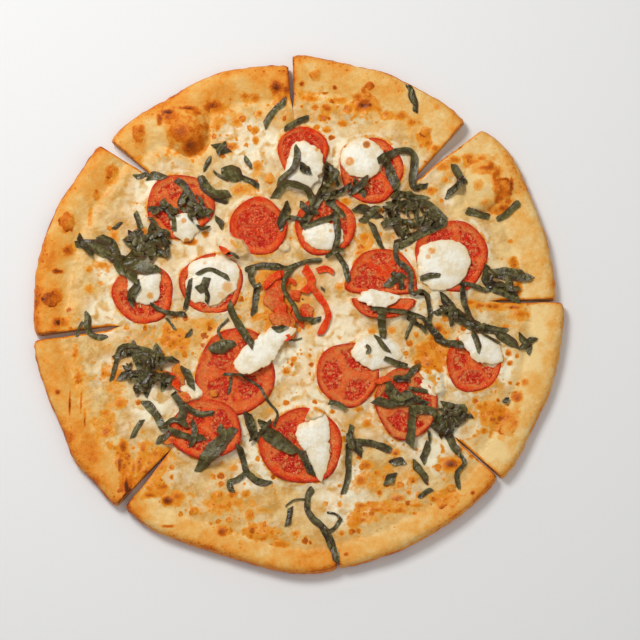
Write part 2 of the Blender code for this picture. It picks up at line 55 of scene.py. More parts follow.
# ---------------------------------------------------------------- sizes, in millimetres
MM = 0.001
AIR = 0.35
TIP_RADIUS = 2.2
DOUGH = 4.2
DOUGH_AT_CHEESE_EDGE = 5.0
CHEESE = 2.5
TOMATO = 2.6
CHOPPED = 3.0
CORNER_ROUNDING = 2.0
CORNER_REACH = 3.0
RIM_CLEARANCE = 0.15  # how far the baked rim stays inside its radii
HIGHEST = 17.4  # nothing reaches above this
CROWN = 1.2  # how far below that the highest dough starts to flatten
HIDDEN_BOTTOM = 3.3  # height of the cheese's bottom, hidden in the dough
FILM_REACH = 8.5  # how far the thin film of cheese climbs past the cheese's edge

# Plan positions are counted in steps, across from the left and down from the top.
STEP_ACROSS = 0.688
STEP_DOWN = 0.699
PLAN_MIDDLE = (299.0, 314.73)
CUTS_MEET = (303.0, 303.0)

# Rim section: share of the bare rim's width, inset and height, from the cheese round to the foot.
RIM_SECTION = (
    (0.0, 0.0, 5.0), (0.15, 0.0, 7.3), (0.35, 0.0, 9.8), (0.55, 0.0, 11.4), (0.75, 0.0, 11.9),
    (0.89, 0.0, 10.8), (0.965, 0.0, 8.2), (1.0, 0.0, 5.0), (1.0, 1.3, 1.6), (1.0, 3.8, 0.0),
)
SHOULDER = 0.93  # share of the bare rim's width where its outer side begins
BARE_WIDTH = 27.0

# Slices in their order round the pizza: angle of the start side and the end side in degrees,
# width of the bare rim, radius where the start side's cut opens, how much darker than the rest it
# is baked, how far each side swings round near the rim and from what radius on, and rim radii.
SLICE_PARTS = "start end bare opens baked start_swing end_swing swing_from rim".split()
SLICE_SIZES = (
    ("3", -0.2, 46.25, 28, 126, -0.1, 0, -2.5, 118,
     (175.1, 173.9, 173.8, 173.2, 175.0, 176.8, 173.9)),
    ("2", 47.95, 92.5, 31, 108, 0.02, 0, 0, 170,
     (169.5, 169.9, 169.3, 170.5, 169.5, 171.2, 174.0)),
    ("1", 93.5, 140.1, 30, 132, 0.08, 0, 0, 170,
     (167.0, 168.2, 170.6, 170.6, 170.7, 173.7, 175.0)),
    ("8", 141.1, 187.9, 27, 130, 0.09, 1.4, 0, 140,
     (179.3, 178.6, 181.5, 183.2, 184.9, 185.2, 186.0)),
    ("7", 189.1, 228.95, 24, 124, 0.17, 0, -0.3, 140,
     (188.2, 187.7, 187.4, 187.8, 192.0, 190.9, 192.4)),
    ("6", 229.4, 277.3, 20, 134, 0.08, 0.6, 0, 140,
     (189.5, 189.2, 186.2, 185.0, 187.0, 189.7, 188.8)),
    ("5", 277.6, 317.1, 20, 170, 0.02, 0, 0, 170,
     (188.3, 186.6, 186.1, 184.7, 184.4, 183.7, 182.9)),
    ("4", 317.55, 359.1, 26, 138, -0.12, 0, 0, 170,
     (186.0, 183.6, 181.1, 181.4, 180.9, 180.3, 180.4)),
)
SLICES = {name: dict(zip(SLICE_PARTS, sizes)) for name, *sizes in SLICE_SIZES}
RING_ORDER = tuple(SLICES)
SWING_WHOLE = 175  # the radius where a side has swung all the way
OPENING_LENGTH = 12.0
RIM_ARC = 140  # about the length of a slice's rim
MEAN_HEIGHT = 0.5575  # the share of a tomato's height where its points lie on average

# Bubbles in the crust: slice, plan position, half width across and down, height.
BUBBLES = (
    ("1", (187, 136), (14.5, 16.0), 7.5),
    ("3", (483, 190), (13.0, 18.5), 5.5),
    ("3", (503, 193), (8.0, 8.0), 2.0),
)
# Where the cheese stops short of a bubble: slice, angle, half angle in degrees, how far.
CHEESE_BAYS = (("1", 124.2, 9.0, 15.0), ("3", 32.5, 9.5, 15.0))

# Browned places on crust and cheese: plan position, half width across and down in steps, and how
# brown. The first two are browning and also painted shade on the lower right of the bubble in slice
# 1.
BROWNED_AND_SHADED = (
    (191, 151, 13, 9, 0.86), (201, 146, 6, 11, 0.7), (182, 139, 13, 12, 0.6),
    (159, 124, 3.5, 7, 0.75), (168, 116, 8, 3.5, 0.62), (188, 112, 12, 3, 0.6),
    (198, 117, 5, 3.5, 0.5), (139, 163, 6, 8, 0.35), (216, 110, 13, 8, 0.5), (245, 98, 6, 5, 0.45),
    (255, 101, 6, 5, 0.45), (277, 90, 9, 8, 0.55), (282, 101, 6, 6, 0.55), (286, 96, 4, 12, 0.5),
    (222, 122, 4, 3, 0.45), (237, 124, 5, 5, 0.45), (259, 116, 4, 4, 0.5), (255, 133, 5, 5, 0.45),
    (256, 143, 4, 5, 0.5), (231, 149, 10, 5, 0.5), (257, 169, 5, 6, 0.45), (241, 192, 9, 6, 0.4),
    (109, 186, 6, 4, 0.45), (70, 254, 8, 7, 0.45), (59, 276, 7, 3, 0.75), (90, 273, 5, 5, 0.4),
    (90, 293, 6, 6, 0.35), (102, 269, 7, 4, 0.4), (114, 239, 4, 8, 0.45), (143, 235, 8, 5, 0.45),
    (90, 218, 3, 14, 0.35), (64, 326, 11, 6, 0.6), (190, 246, 8, 3, 0.8), (206, 238, 4, 4, 0.5),
    (184, 226, 5, 4, 0.4), (302, 86, 4, 3, 0.6), (293, 97, 5, 7, 0.6), (335, 90, 2.5, 2.5, 0.8),
    (365, 107, 11, 6, 1.0), (365, 108, 17, 9, 0.55), (359, 99, 8, 4, 0.5), (328, 111, 6, 4, 0.75),
    (324, 120, 6, 5, 0.6), (310, 101, 12, 4, 0.45), (340, 102, 10, 3, 0.45), (387, 116, 4, 4, 0.55),
    (379, 111, 6, 4, 0.45), (402, 118, 7, 5, 0.55), (412, 125, 6, 5, 0.5), (429, 146, 5, 4, 0.6),
    (436, 151, 5, 4, 0.6), (343, 126, 6, 4, 0.5), (327, 133, 5, 4, 0.5), (438, 111, 5, 4, 0.3),
    (470, 160, 7, 3.5, 0.6), (483, 162, 7, 3.5, 0.7), (492, 170, 4.5, 6, 0.7),
    (495, 182, 3.5, 7, 0.65), (500, 203, 6, 3.5, 0.75), (509, 206, 5, 3.5, 0.75),
    (489, 309, 6, 3.5, 0.6), (521, 318, 8, 5, 0.55), (505, 330, 5, 3, 0.45), (528, 307, 4, 3, 0.5),
    (122, 466, 2.5, 12, 0.9), (129, 486, 3, 10, 0.95), (136, 470, 3, 9, 0.6), (150, 474, 8, 3, 0.7),
    (152, 497, 8, 2.5, 0.75), (166, 489, 6, 3, 0.7), (475, 165, 9, 4, 0.6), (488, 173, 15, 4, 0.6),
    (456, 163, 7, 4, 0.6), (445, 170, 8, 5, 0.5), (432, 194, 6, 5, 0.5), (446, 183, 4, 4, 0.4),
    (479, 190, 6, 8, 0.5), (512, 189, 2.5, 9, 1.0), (504, 184, 8, 2.5, 0.7), (504, 212, 7, 4, 0.75),
    (498, 205, 4, 5, 0.6), (487, 207, 8, 5, 0.35), (511, 245, 4, 3, 0.5), (514, 266, 6, 7, 0.5),
    (518, 292, 5, 10, 0.65), (471, 306, 7, 3, 0.6), (480, 309, 6, 3, 0.65), (496, 310, 6, 4, 0.65),
    (514, 311, 9, 3, 0.6), (523, 318, 7, 3, 0.5), (77, 355, 4, 8, 0.45), (80, 381, 5, 9, 0.5),
    (60, 396, 4, 4, 0.45), (72, 408, 1.6, 14, 0.65), (83, 404, 1.6, 12, 0.65),
    (87, 420, 1.5, 12, 0.5), (122, 406, 8, 7, 0.5), (108, 416, 5, 5, 0.45), (108, 434, 5, 8, 0.65),
    (106, 376, 5, 8, 0.4), (118, 378, 7, 9, 0.4), (125, 448, 5, 8, 0.75), (145, 451, 4, 7, 0.6),
    (142, 466, 5, 14, 0.55), (133, 482, 6, 9, 0.6), (129, 499, 4, 3, 0.9), (170, 502, 8, 6, 1.0),
    (180, 498, 8, 6, 0.6), (224, 532, 6, 5.5, 0.8), (171, 528, 8, 2, 0.7), (152, 490, 5, 5, 0.5),
    (163, 468, 8, 6, 0.45), (167, 458, 4, 9, 0.5), (253, 531, 5, 6, 0.65), (281, 545, 12, 4, 0.5),
    (296, 534, 5, 3, 0.5), (251, 516, 6, 7, 0.45), (235, 470, 6, 4, 0.35), (234, 495, 5, 5, 0.55),
    (247, 496, 5, 4, 0.5), (224, 508, 8, 4, 0.45), (175, 344, 9, 6, 0.45), (184, 350, 7, 7, 0.45),
    (168, 332, 7, 5, 0.45), (163, 357, 6, 5, 0.4), (210, 328, 5, 5, 0.5), (259, 338, 3, 2, 0.6),
    (294, 363, 4, 4, 0.5), (287, 374, 6, 5, 0.4), (438, 332, 7, 5, 0.8), (442, 355, 12, 8, 0.4),
    (430, 366, 12, 10, 0.5), (424, 349, 7, 6, 0.4), (372, 335, 5, 4, 0.4), (392, 334, 5, 4, 0.4),
    (367, 426, 6, 5, 0.45), (359, 412, 5, 4, 0.4), (516, 401, 6, 6, 0.9), (524, 386, 5, 5, 0.45),
    (508, 357, 3.5, 3.5, 0.7), (509, 367, 3, 3, 0.7), (503, 420, 12, 7, 0.55),
    (479, 410, 5, 4, 0.5), (483, 434, 5, 4, 0.5), (494, 410, 6, 5, 0.4), (494, 423, 10, 8, 0.4),
    (451, 466, 8, 6, 1.0), (450, 467, 12, 9, 0.5), (367, 467, 6, 5, 0.6), (377, 475, 5, 4, 0.45),
    (361, 482, 6, 6, 0.6), (379, 494, 3.5, 3.5, 0.75), (398, 500, 8, 4, 0.65),
    (412, 482, 4, 4, 0.6), (408, 494, 3, 3, 0.6), (433, 501, 5, 4, 0.55), (361, 507, 8, 3, 0.6),
    (378, 511, 11, 3, 0.55), (398, 512, 11, 3, 0.5), (416, 507, 8, 3, 0.45), (362, 521, 4, 3, 0.6),
    (346, 555, 3, 3, 0.5), (471, 495, 3, 3, 0.5), (395, 455, 6, 4, 0.6), (340, 290, 6, 5, 0.4),
    (365, 240, 7, 5, 0.5), (362, 256, 8, 5, 0.45), (332, 184, 8, 7, 0.45), (346, 205, 6, 5, 0.4),
)
# Blisters with a darker ring: as above, and 1 for a ring that is darkest on the lower left or -1
# for one that is darkest on the upper right. The ring is browned, and painted shade darkens that
# side.
BLISTERS = (
    (138, 138, 7, 10, 0.75, 1), (269, 182, 6, 5, 0.6, 1), (112, 175, 7, 7, 0.75, 1),
    (96, 199, 4, 5, 0.6, 1), (67, 227, 9, 10, 0.8, 1), (51, 304, 10, 8, 0.65, 1),
    (315, 78, 7, 5, 0.65, 1), (370, 89, 4.5, 4.5, 1.0, 1), (426, 135, 6, 6, 0.85, 1),
    (503, 193, 11, 12, 0.9, -1), (122, 466, 6, 7, 0.65, 1), (196, 513, 5, 4.5, 0.75, 1),
    (161, 485, 6, 6, 0.7, 1), (263, 536, 7, 5, 0.65, 1), (219, 498, 6, 6, 0.55, 1),
    (506, 433, 8.5, 7.5, 0.85, 1), (473, 418, 5, 5, 0.5, 1), (441, 504, 7, 7, 0.6, 1),
    (450, 490, 5, 4, 0.65, 1), (353, 524, 6, 6, 0.65, 1),
)
# Where oil and cheese baked to an orange glaze: plan position, half width across and down in
# steps, how much.
GLAZED = (
    (128, 474, 10, 26, 1.0), (147, 470, 14, 12, 0.75), (160, 493, 16, 9, 0.8),
    (480, 162, 20, 7, 0.7), (496, 182, 6, 16, 0.7), (504, 204, 10, 6, 0.8), (521, 318, 14, 10, 0.5),
    (281, 322, 22, 18, 0.8), (268, 300, 16, 18, 0.5), (306, 318, 14, 16, 0.5),
    (184, 136, 24, 21, 0.8), (194, 142, 15, 16, 1.0), (170, 124, 11, 8, 0.85),
    (192, 116, 13, 5, 0.9), (140, 144, 10, 12, 0.5), (217, 112, 14, 8, 0.8), (216, 127, 6, 7, 0.7),
    (237, 122, 8, 12, 0.5), (248, 102, 11, 6, 0.6), (280, 96, 9, 13, 0.7), (231, 149, 12, 6, 0.6),
    (257, 172, 8, 9, 0.45), (242, 192, 18, 8, 0.45), (488, 175, 19, 7, 0.85), (471, 168, 9, 5, 0.7),
    (504, 198, 12, 17, 0.75), (499, 214, 12, 6, 0.85), (450, 172, 14, 7, 0.45),
    (365, 107, 21, 10, 0.9), (340, 103, 15, 5, 0.6), (392, 118, 13, 6, 0.7), (315, 80, 8, 8, 0.6),
    (306, 97, 15, 6, 0.6), (326, 115, 8, 8, 0.55), (426, 140, 9, 11, 0.75), (112, 178, 9, 10, 0.6),
    (67, 228, 10, 11, 0.6), (54, 304, 14, 9, 0.6), (104, 270, 13, 8, 0.45), (115, 240, 7, 12, 0.4),
    (80, 385, 8, 30, 0.4), (116, 385, 13, 22, 0.5), (108, 425, 12, 22, 0.6), (125, 458, 9, 20, 0.8),
    (150, 470, 14, 26, 0.8), (175, 501, 13, 8, 0.8), (225, 505, 26, 11, 0.6),
    (262, 533, 23, 12, 0.75), (163, 456, 14, 8, 0.7), (385, 508, 38, 7, 0.7),
    (360, 519, 16, 7, 0.7), (447, 498, 15, 11, 0.75), (452, 466, 14, 10, 0.9),
    (382, 482, 32, 15, 0.45), (495, 419, 25, 19, 0.85), (506, 432, 12, 12, 0.9),
    (431, 359, 19, 19, 0.9), (440, 338, 12, 9, 0.7), (176, 343, 20, 13, 0.85),
    (205, 328, 14, 8, 0.4), (365, 247, 14, 11, 0.6), (283, 320, 17, 20, 0.8),
    (271, 282, 14, 11, 0.8), (296, 300, 16, 26, 0.5), (498, 311, 34, 5, 0.65),
    (515, 285, 9, 22, 0.5), (377, 425, 26, 10, 0.35), (250, 512, 18, 9, 0.4),
)
# Pale dough beside the bubbles: plan position, radius in steps, how much.
PALE_DOUGH = (
    (157, 149, 12, 0.22), (166, 165, 11, 0.28), (182, 172, 11, 0.28), (198, 168, 10, 0.26),
    (213, 151, 8, 0.2), (146, 168, 10, 0.2), (158, 137, 9, 0.24), (149, 127, 8, 0.16),
    (478, 194, 11, 0.14), (125, 205, 14, 0.12),
)
# The slices whose cheese is dotted with browned specks along the crust.
DOTTED = ("1", "2", "5", "6")
# Where the cheese is thick with small browned specks: plan position, radius in steps, how much.
SPECKLED = (
    (176, 342, 40, 1.0), (140, 355, 35, 0.5), (430, 352, 34, 1.0), (385, 345, 25, 0.5),
    (495, 420, 30, 0.8), (150, 470, 28, 0.6), (380, 482, 45, 0.7), (235, 498, 40, 0.6),
    (245, 115, 45, 0.6), (330, 115, 45, 0.5), (365, 250, 25, 0.8), (405, 232, 25, 0.8),
    (250, 310, 25, 0.6), (304, 378, 24, 0.5), (120, 380, 28, 0.6), (130, 225, 25, 0.4),
    (455, 175, 25, 0.5), (290, 400, 30, 0.5), (360, 425, 25, 0.7), (240, 180, 25, 0.5),
)
# Where the cheese is whitest: plan position, radius in steps.
MILKY = (
    (112, 270, 20), (118, 315, 16), (150, 412, 16), (112, 372, 14), (188, 395, 10), (292, 372, 15),
    (298, 404, 16), (158, 388, 12), (246, 440, 12), (245, 476, 12), (356, 478, 11), (366, 430, 9),
    (318, 352, 12), (278, 350, 24), (276, 366, 20), (292, 352, 16), (190, 405, 22), (205, 245, 18),
    (420, 385, 22), (508, 372, 17), (325, 400, 24), (250, 150, 26), (330, 160, 20), (430, 440, 28),
    (340, 330, 22), (420, 300, 20), (460, 200, 16), (150, 205, 24), (255, 470, 22), (345, 505, 22),
    (110, 320, 20),
)
# Cheese that has run over a tomato slice: plan position, half width across and down, turn, height.
RUN_OVER = (
    ((234, 252), (13.0, 8.0), -38, 4.6), ((431, 385), (9.0, 12.0), 25, 3.4),
    ((316, 418), (7.0, 5.0), 10, 3.9), ((190, 397), (11.0, 7.0), 10, 3.0),
    ((285, 252), (4.0, 3.0), 0, 2.2), ((277, 357), (8.0, 9.0), 35, 1.6),
    ((224, 262), (8.0, 4.5), 15, 3.4),
)

# Tomato slices: middle in the plan, half width across and down, turn in degrees, pulp pockets,
# how pale, and how much of the middle is pulp.
TOMATOES = {
    "tomato_01": ((303, 156), (17.5, 18.5), 0, 4, 0.1, 0.95),
    "tomato_02": ((371.5, 173.5), (22.0, 23.5), 10, 3, 0.15, 0.62),
    "tomato_03": ((180, 210), (23.5, 22.5), 20, 3, 0.35, 0.5),
    "tomato_04": ((258, 231), (20.0, 20.5), 0, 6, 0.0, 0.95),
    "tomato_05": ((325, 230), (21.0, 21.0), 40, 4, 0.1, 0.7),
    "tomato_06": ((144, 298), (21.0, 21.0), 0, 3, 0.2, 0.55),
    "tomato_07": ((212, 288), (22.0, 21.0), 15, 3, 0.3, 0.6),
    "tomato_10": ((452, 260), (25.0, 25.0), 30, 4, 0.15, 0.8),
    "tomato_11": ((473, 367), (19.0, 20.5), 0, 4, 0.15, 0.75),
    "tomato_12": ((236, 376), (27.0, 30.5), -12, 4, 0.25, 0.72),
    "tomato_13": ((207, 433), (25.0, 20.5), 0, 3, 0.1, 0.75),
    "tomato_14": ((302, 449), (28.5, 26.0), 5, 4, 0.05, 0.8),
    "tomato_15": ((348, 378), (21.5, 22.5), 0, 3, 0.3, 0.6),
    "tomato_16": ((406, 407), (21.5, 25.0), 0, 3, 0.75, 0.45),
}
# A slice that a cut divides: pulp pockets, how pale, how much of the middle is pulp, and its
# outline in the plan, across and down by turns.
CUT_TOMATO = {
    "tomato_09_upper": (
        3, 0.1, 0.9,
        349, 296, 350, 276, 361, 259, 380, 253, 400, 257, 413, 272, 417, 290, 412, 298,
    ),
    "tomato_09_lower": (
        3, 0.1, 0.7,
        352, 303, 372, 305, 413, 303, 410, 314, 396, 321, 378, 323, 361, 318,
    ),
}
# Chopped tomato over the point where the cuts meet, and bits of tomato that lie loose.
TOMATO_HEAP = (
    ((275, 298), (7.6, 13.0), -8), ((286, 329), (7.5, 10.3), 15), ((281, 314), (5.0, 6.0), 0),
)
TOMATO_BITS = (
    ((307, 316), (5.0, 5.5), 10), ((295, 299), (4.8, 4.4), 20), ((281, 325), (8.0, 5.0), -15),
    ((180, 380), (4.2, 9.0), 8), ((184, 401), (5.5, 4.0), 0), ((172, 444), (3.0, 4.5), -50),
    ((215, 397), (3.0, 3.0), 0),
)
# Strips of tomato: width in steps and a line in the plan, across and down by turns.
TOMATO_STRIPS = (
    (9, 304, 272, 310, 280, 311, 288, 304, 297),
    (7, 308, 286, 318, 299, 326, 311, 328, 322, 320, 339), (6, 317, 275, 326, 273, 334, 277),
    (6, 275, 342, 283, 344, 291, 341), (7, 264, 292, 273, 283, 284, 277),
    (6, 290, 312, 296, 320, 304, 330), (5, 296, 288, 290, 284, 286, 290),
    (8, 170, 376, 176, 384, 178, 394), (6, 222, 252, 226, 258, 233, 262),
    (7, 376, 388, 384, 384, 392, 386),
)

# Torn mozzarella: height, how much further than its outline it has melted, how much of its
# height it keeps, how raggedly it is torn, and its outline in the plan, across and down by turns.
MOZZARELLA = {
    "mozzarella_01": (
        3.4, 1.04, 0.9, 1.5, 291, 152, 304, 147, 317, 152, 321, 167, 318, 184, 307, 193, 292, 194,
        281, 191, 284, 180, 288, 165,
    ),
    "mozzarella_02": (
        3.6, 1.04, 0.9, 1.0,
        340, 155, 356, 143, 373, 146, 382, 160, 377, 175, 362, 182, 345, 176,
    ),
    "mozzarella_03": (
        3.0, 1.04, 0.9, 1.6,
        171, 228, 181, 219, 194, 221, 199, 232, 192, 243, 178, 243,
    ),
    "mozzarella_05": (
        3.4, 1.04, 0.9, 1.0,
        305, 240, 311, 229, 324, 226, 338, 231, 344, 242, 333, 253, 316, 254,
    ),
    "mozzarella_06": (
        3.6, 1.04, 0.9, 1.4,
        128, 288, 136, 273, 150, 270, 161, 284, 158, 302, 145, 309, 133, 303,
    ),
    "mozzarella_07": (
        3.2, 1.12, 0.9, 1.0, 188, 285, 194, 271, 207, 263, 222, 264, 235, 274, 237, 288, 227, 300,
        214, 308, 199, 305, 191, 296,
    ),
    "mozzarella_09": (
        2.6, 1.04, 0.9, 2.4,
        361, 298, 374, 295, 389, 297, 399, 301, 391, 310, 374, 312, 362, 307,
    ),
    "mozzarella_10": (
        4.2, 1.0, 0.75, 0.9, 417, 266, 420, 250, 434, 245, 451, 243, 465, 248, 469, 263, 465, 280,
        455, 290, 441, 295, 426, 290, 419, 280,
    ),
    "mozzarella_11": (
        3.4, 1.04, 0.9, 1.5,
        457, 341, 471, 337, 487, 341, 499, 350, 500, 363, 493, 368, 477, 365, 464, 353,
    ),
    "mozzarella_12": (
        3.2, 1.16, 0.5, 2.4, 241, 366, 248, 354, 258, 345, 270, 336, 285, 331, 291, 338, 278, 352,
        273, 364, 258, 372, 247, 378,
    ),
    "mozzarella_14": (
        3.6, 1.04, 0.7, 1.7, 297, 433, 305, 425, 318, 419, 326, 424, 329, 447, 327, 470, 321, 482,
        314, 473, 307, 457, 300, 446,
    ),
    "mozzarella_15": (
        3.8, 1.04, 0.9, 1.5,
        353, 352, 366, 341, 384, 340, 399, 347, 399, 361, 387, 371, 369, 373, 356, 365,
    ),
}
# Toasted dots on mozzarella: plan position, radius in steps, how brown.
TOASTED = (
    (367, 149, 5, 0.8), (350, 166, 6, 0.55), (345, 150, 2.5, 0.8), (341, 173, 2.5, 0.7),
    (187, 246, 4, 0.7), (184, 226, 4, 0.45), (151, 301, 5, 0.45), (139, 279, 3, 0.4),
    (432, 256, 5, 0.5), (428, 262, 4, 0.4), (317, 155, 3, 0.5), (392, 303, 3, 0.4),
    (366, 352, 3, 0.4), (370, 361, 3, 0.4), (476, 349, 3, 0.3), (228, 292, 8, 0.4),
    (222, 300, 6, 0.35), (205, 268, 3, 0.35), (331, 236, 3, 0.4),
)

# Basil by clump. Each leaf or shred is its width in steps and a line in the plan, across and
# down by turns.
BASIL = {
    "basil_left": (
        (13, 75, 248, 96, 251, 118, 262), (9, 98, 241, 112, 248, 118, 262),
        (15, 112, 261, 133, 270, 158, 278), (11, 115, 264, 124, 275, 138, 285),
        (12, 128, 238, 142, 250, 167, 258), (12, 150, 235, 144, 252, 130, 262),
        (10, 128, 250, 148, 246, 168, 244), (6, 135, 216, 138, 224, 141, 233),
        (8, 136, 234, 140, 244, 136, 256), (6, 158, 240, 166, 248, 168, 262),
        (7, 78, 240, 84, 250, 94, 259),
    ),
    "basil_lower_left": (
        (10, 116, 358, 140, 355, 162, 362), (10, 132, 348, 142, 372, 150, 398),
        (9, 120, 380, 140, 378, 174, 384), (9, 160, 350, 152, 372, 136, 396),
        (5, 137, 350, 122, 352, 117, 368, 113, 384), (7, 140, 362, 156, 368, 168, 364, 178, 363),
        (6, 128, 372, 140, 388, 146, 396),
    ),
    "basil_upper_left": (
        (10, 200, 180, 206, 192, 216, 200, 228, 205), (9, 206, 190, 214, 198, 230, 197),
        (18, 225, 170, 233, 178, 240, 184), (6, 241, 181, 249, 184, 259, 190),
        (5, 244, 160, 248, 166, 252, 171),
    ),
    "basil_tomato_3": (
        (8, 176, 184, 184, 190, 192, 204, 195, 217), (6, 148, 214, 164, 213, 178, 216),
        (6, 184, 205, 197, 211, 210, 220), (9, 148, 180, 156, 180, 164, 183),
        (5, 150, 222, 156, 230, 162, 238), (7, 163, 206, 168, 214, 172, 224),
        (5, 170, 216, 174, 226, 174, 236), (7, 196, 222, 204, 218, 212, 214),
        (5, 197, 232, 203, 233, 209, 230), (7, 215, 222, 220, 226, 223, 231),
        (6, 185, 198, 180, 208, 184, 217),
    ),
    "basil_top": (
        (9, 302, 232, 312, 214, 324, 193, 330, 168), (6, 305, 231, 320, 226, 335, 219, 331, 200),
        (7, 335, 217, 338, 240, 334, 258), (8, 274, 202, 286, 189, 306, 194, 314, 208),
        (9, 289, 207, 284, 220, 279, 233), (5, 279, 232, 290, 222, 306, 226),
        (6, 333, 254, 344, 268, 349, 287), (8, 338, 176, 330, 186, 322, 196),
        (7, 330, 200, 340, 196, 352, 190), (7, 300, 208, 308, 214, 318, 216),
        (6, 326, 206, 338, 214, 344, 222), (5, 326, 262, 334, 257, 344, 254),
    ),
    "basil_left_edge": (
        (7, 89, 317, 89, 332, 94, 339, 107, 342), (3, 84, 326, 80, 333, 78, 341),
    ),
    "basil_tomato_2": (
        (8, 378, 166, 392, 158, 407, 154, 415, 161, 413, 188, 421, 192),
        (10, 386, 163, 392, 180, 399, 194), (5, 418, 190, 424, 190, 428, 189),
    ),
    "basil_ring": (
        (7, 392, 200, 404, 198, 416, 201, 428, 203),
        (8, 398, 208, 412, 208, 428, 208, 438, 216, 446, 226), (11, 446, 225, 424, 236, 396, 250),
        (8, 398, 202, 392, 215, 396, 228, 400, 238), (7, 384, 224, 396, 230, 405, 243),
        (6, 396, 248, 397, 264, 410, 277, 411, 298), (7, 382, 230, 394, 226, 408, 226),
        (5, 410, 208, 416, 216, 418, 226), (5, 388, 206, 396, 214, 398, 222),
        (6, 430, 212, 438, 220, 440, 230), (6, 412, 232, 420, 228, 432, 226),
    ),
    "basil_right": (
        (12, 484, 277, 506, 278, 532, 284), (11, 484, 276, 490, 288, 503, 296, 519, 303),
        (5, 460, 288, 472, 290, 489, 296), (6, 462, 290, 464, 306, 470, 321, 479, 335),
        (13, 442, 309, 456, 319, 480, 334), (9, 478, 332, 492, 334, 506, 336),
        (9, 440, 300, 448, 308, 458, 322), (8, 488, 270, 486, 280, 488, 292),
        (12, 498, 337, 508, 345, 514, 352), (8, 518, 340, 526, 348, 530, 356),
        (7, 534, 342, 526, 348, 520, 354), (6, 471, 336, 476, 346, 479, 357),
        (3, 480, 337, 490, 343, 499, 348), (5, 452, 312, 450, 322, 452, 330),
        (6, 434, 318, 446, 314, 456, 312),
    ),
    "basil_middle_right": (
        (5, 418, 298, 426, 300, 430, 320, 424, 334), (5, 371, 314, 396, 316, 418, 320, 428, 326),
        (8, 381, 315, 382, 330, 383, 343), (4, 415, 320, 410, 331, 405, 343),
        (6, 376, 340, 382, 349, 388, 357), (5, 412, 300, 422, 296, 430, 302),
        (8, 434, 341, 446, 347, 463, 350), (7, 424, 322, 432, 334, 440, 342),
        (6, 420, 284, 430, 281, 440, 281), (9, 386, 292, 394, 284, 404, 279),
        (6, 392, 277, 400, 284, 402, 294), (5, 407, 322, 420, 330, 426, 336),
    ),
    "basil_lower_right": (
        (9, 374, 404, 391, 408, 418, 404), (11, 386, 389, 394, 398, 404, 406),
        (6, 404, 395, 416, 404, 427, 408), (9, 411, 414, 430, 415, 438, 426, 443, 438),
        (9, 412, 414, 411, 430, 409, 449), (10, 442, 410, 452, 412, 464, 420),
        (10, 446, 424, 454, 416, 460, 408), (9, 440, 420, 446, 434, 453, 449, 459, 456),
        (8, 432, 428, 440, 434, 452, 436), (7, 405, 383, 412, 376, 417, 368),
        (6, 384, 363, 395, 367, 407, 371), (7, 393, 384, 400, 383, 410, 384),
        (5, 408, 393, 418, 394, 427, 396), (8, 386, 399, 398, 402, 412, 398),
    ),
    "basil_middle": (
        (5, 322, 264, 301, 267, 288, 279, 284, 293, 294, 310, 300, 323, 313, 323),
        (7, 245, 274, 261, 270, 280, 271), (6, 253, 270, 251, 281, 257, 293),
        (7, 258, 288, 256, 302, 254, 319), (4, 276, 270, 287, 272, 297, 268),
    ),
    "basil_bottom": (
        (7, 313, 490, 308, 500, 310, 516, 327, 533, 333, 548, 337, 563),
        (4, 326, 533, 334, 530, 341, 520), (2.5, 327, 514, 336, 516, 342, 522),
        (6, 322, 528, 328, 540, 331, 549),
    ),
    "basil_tomato_14": (
        (9, 248, 416, 252, 430, 256, 444), (15, 263, 432, 281, 446, 297, 456),
        (8, 299, 452, 306, 464, 312, 478), (9, 262, 423, 266, 432, 270, 440),
        (4, 250, 444, 262, 436, 272, 424),
    ),
    "basil_bottom_left": (
        (15, 236, 432, 222, 446, 210, 460, 199, 474), (9, 146, 404, 158, 419, 166, 434),
        (8, 174, 397, 184, 412, 182, 428), (6, 186, 410, 200, 418, 215, 417),
        (7, 170, 434, 182, 438, 195, 442, 206, 441), (6, 193, 425, 196, 436, 193, 450),
        (6, 166, 430, 176, 424, 190, 430), (9, 220, 430, 224, 440, 220, 450),
    ),
}
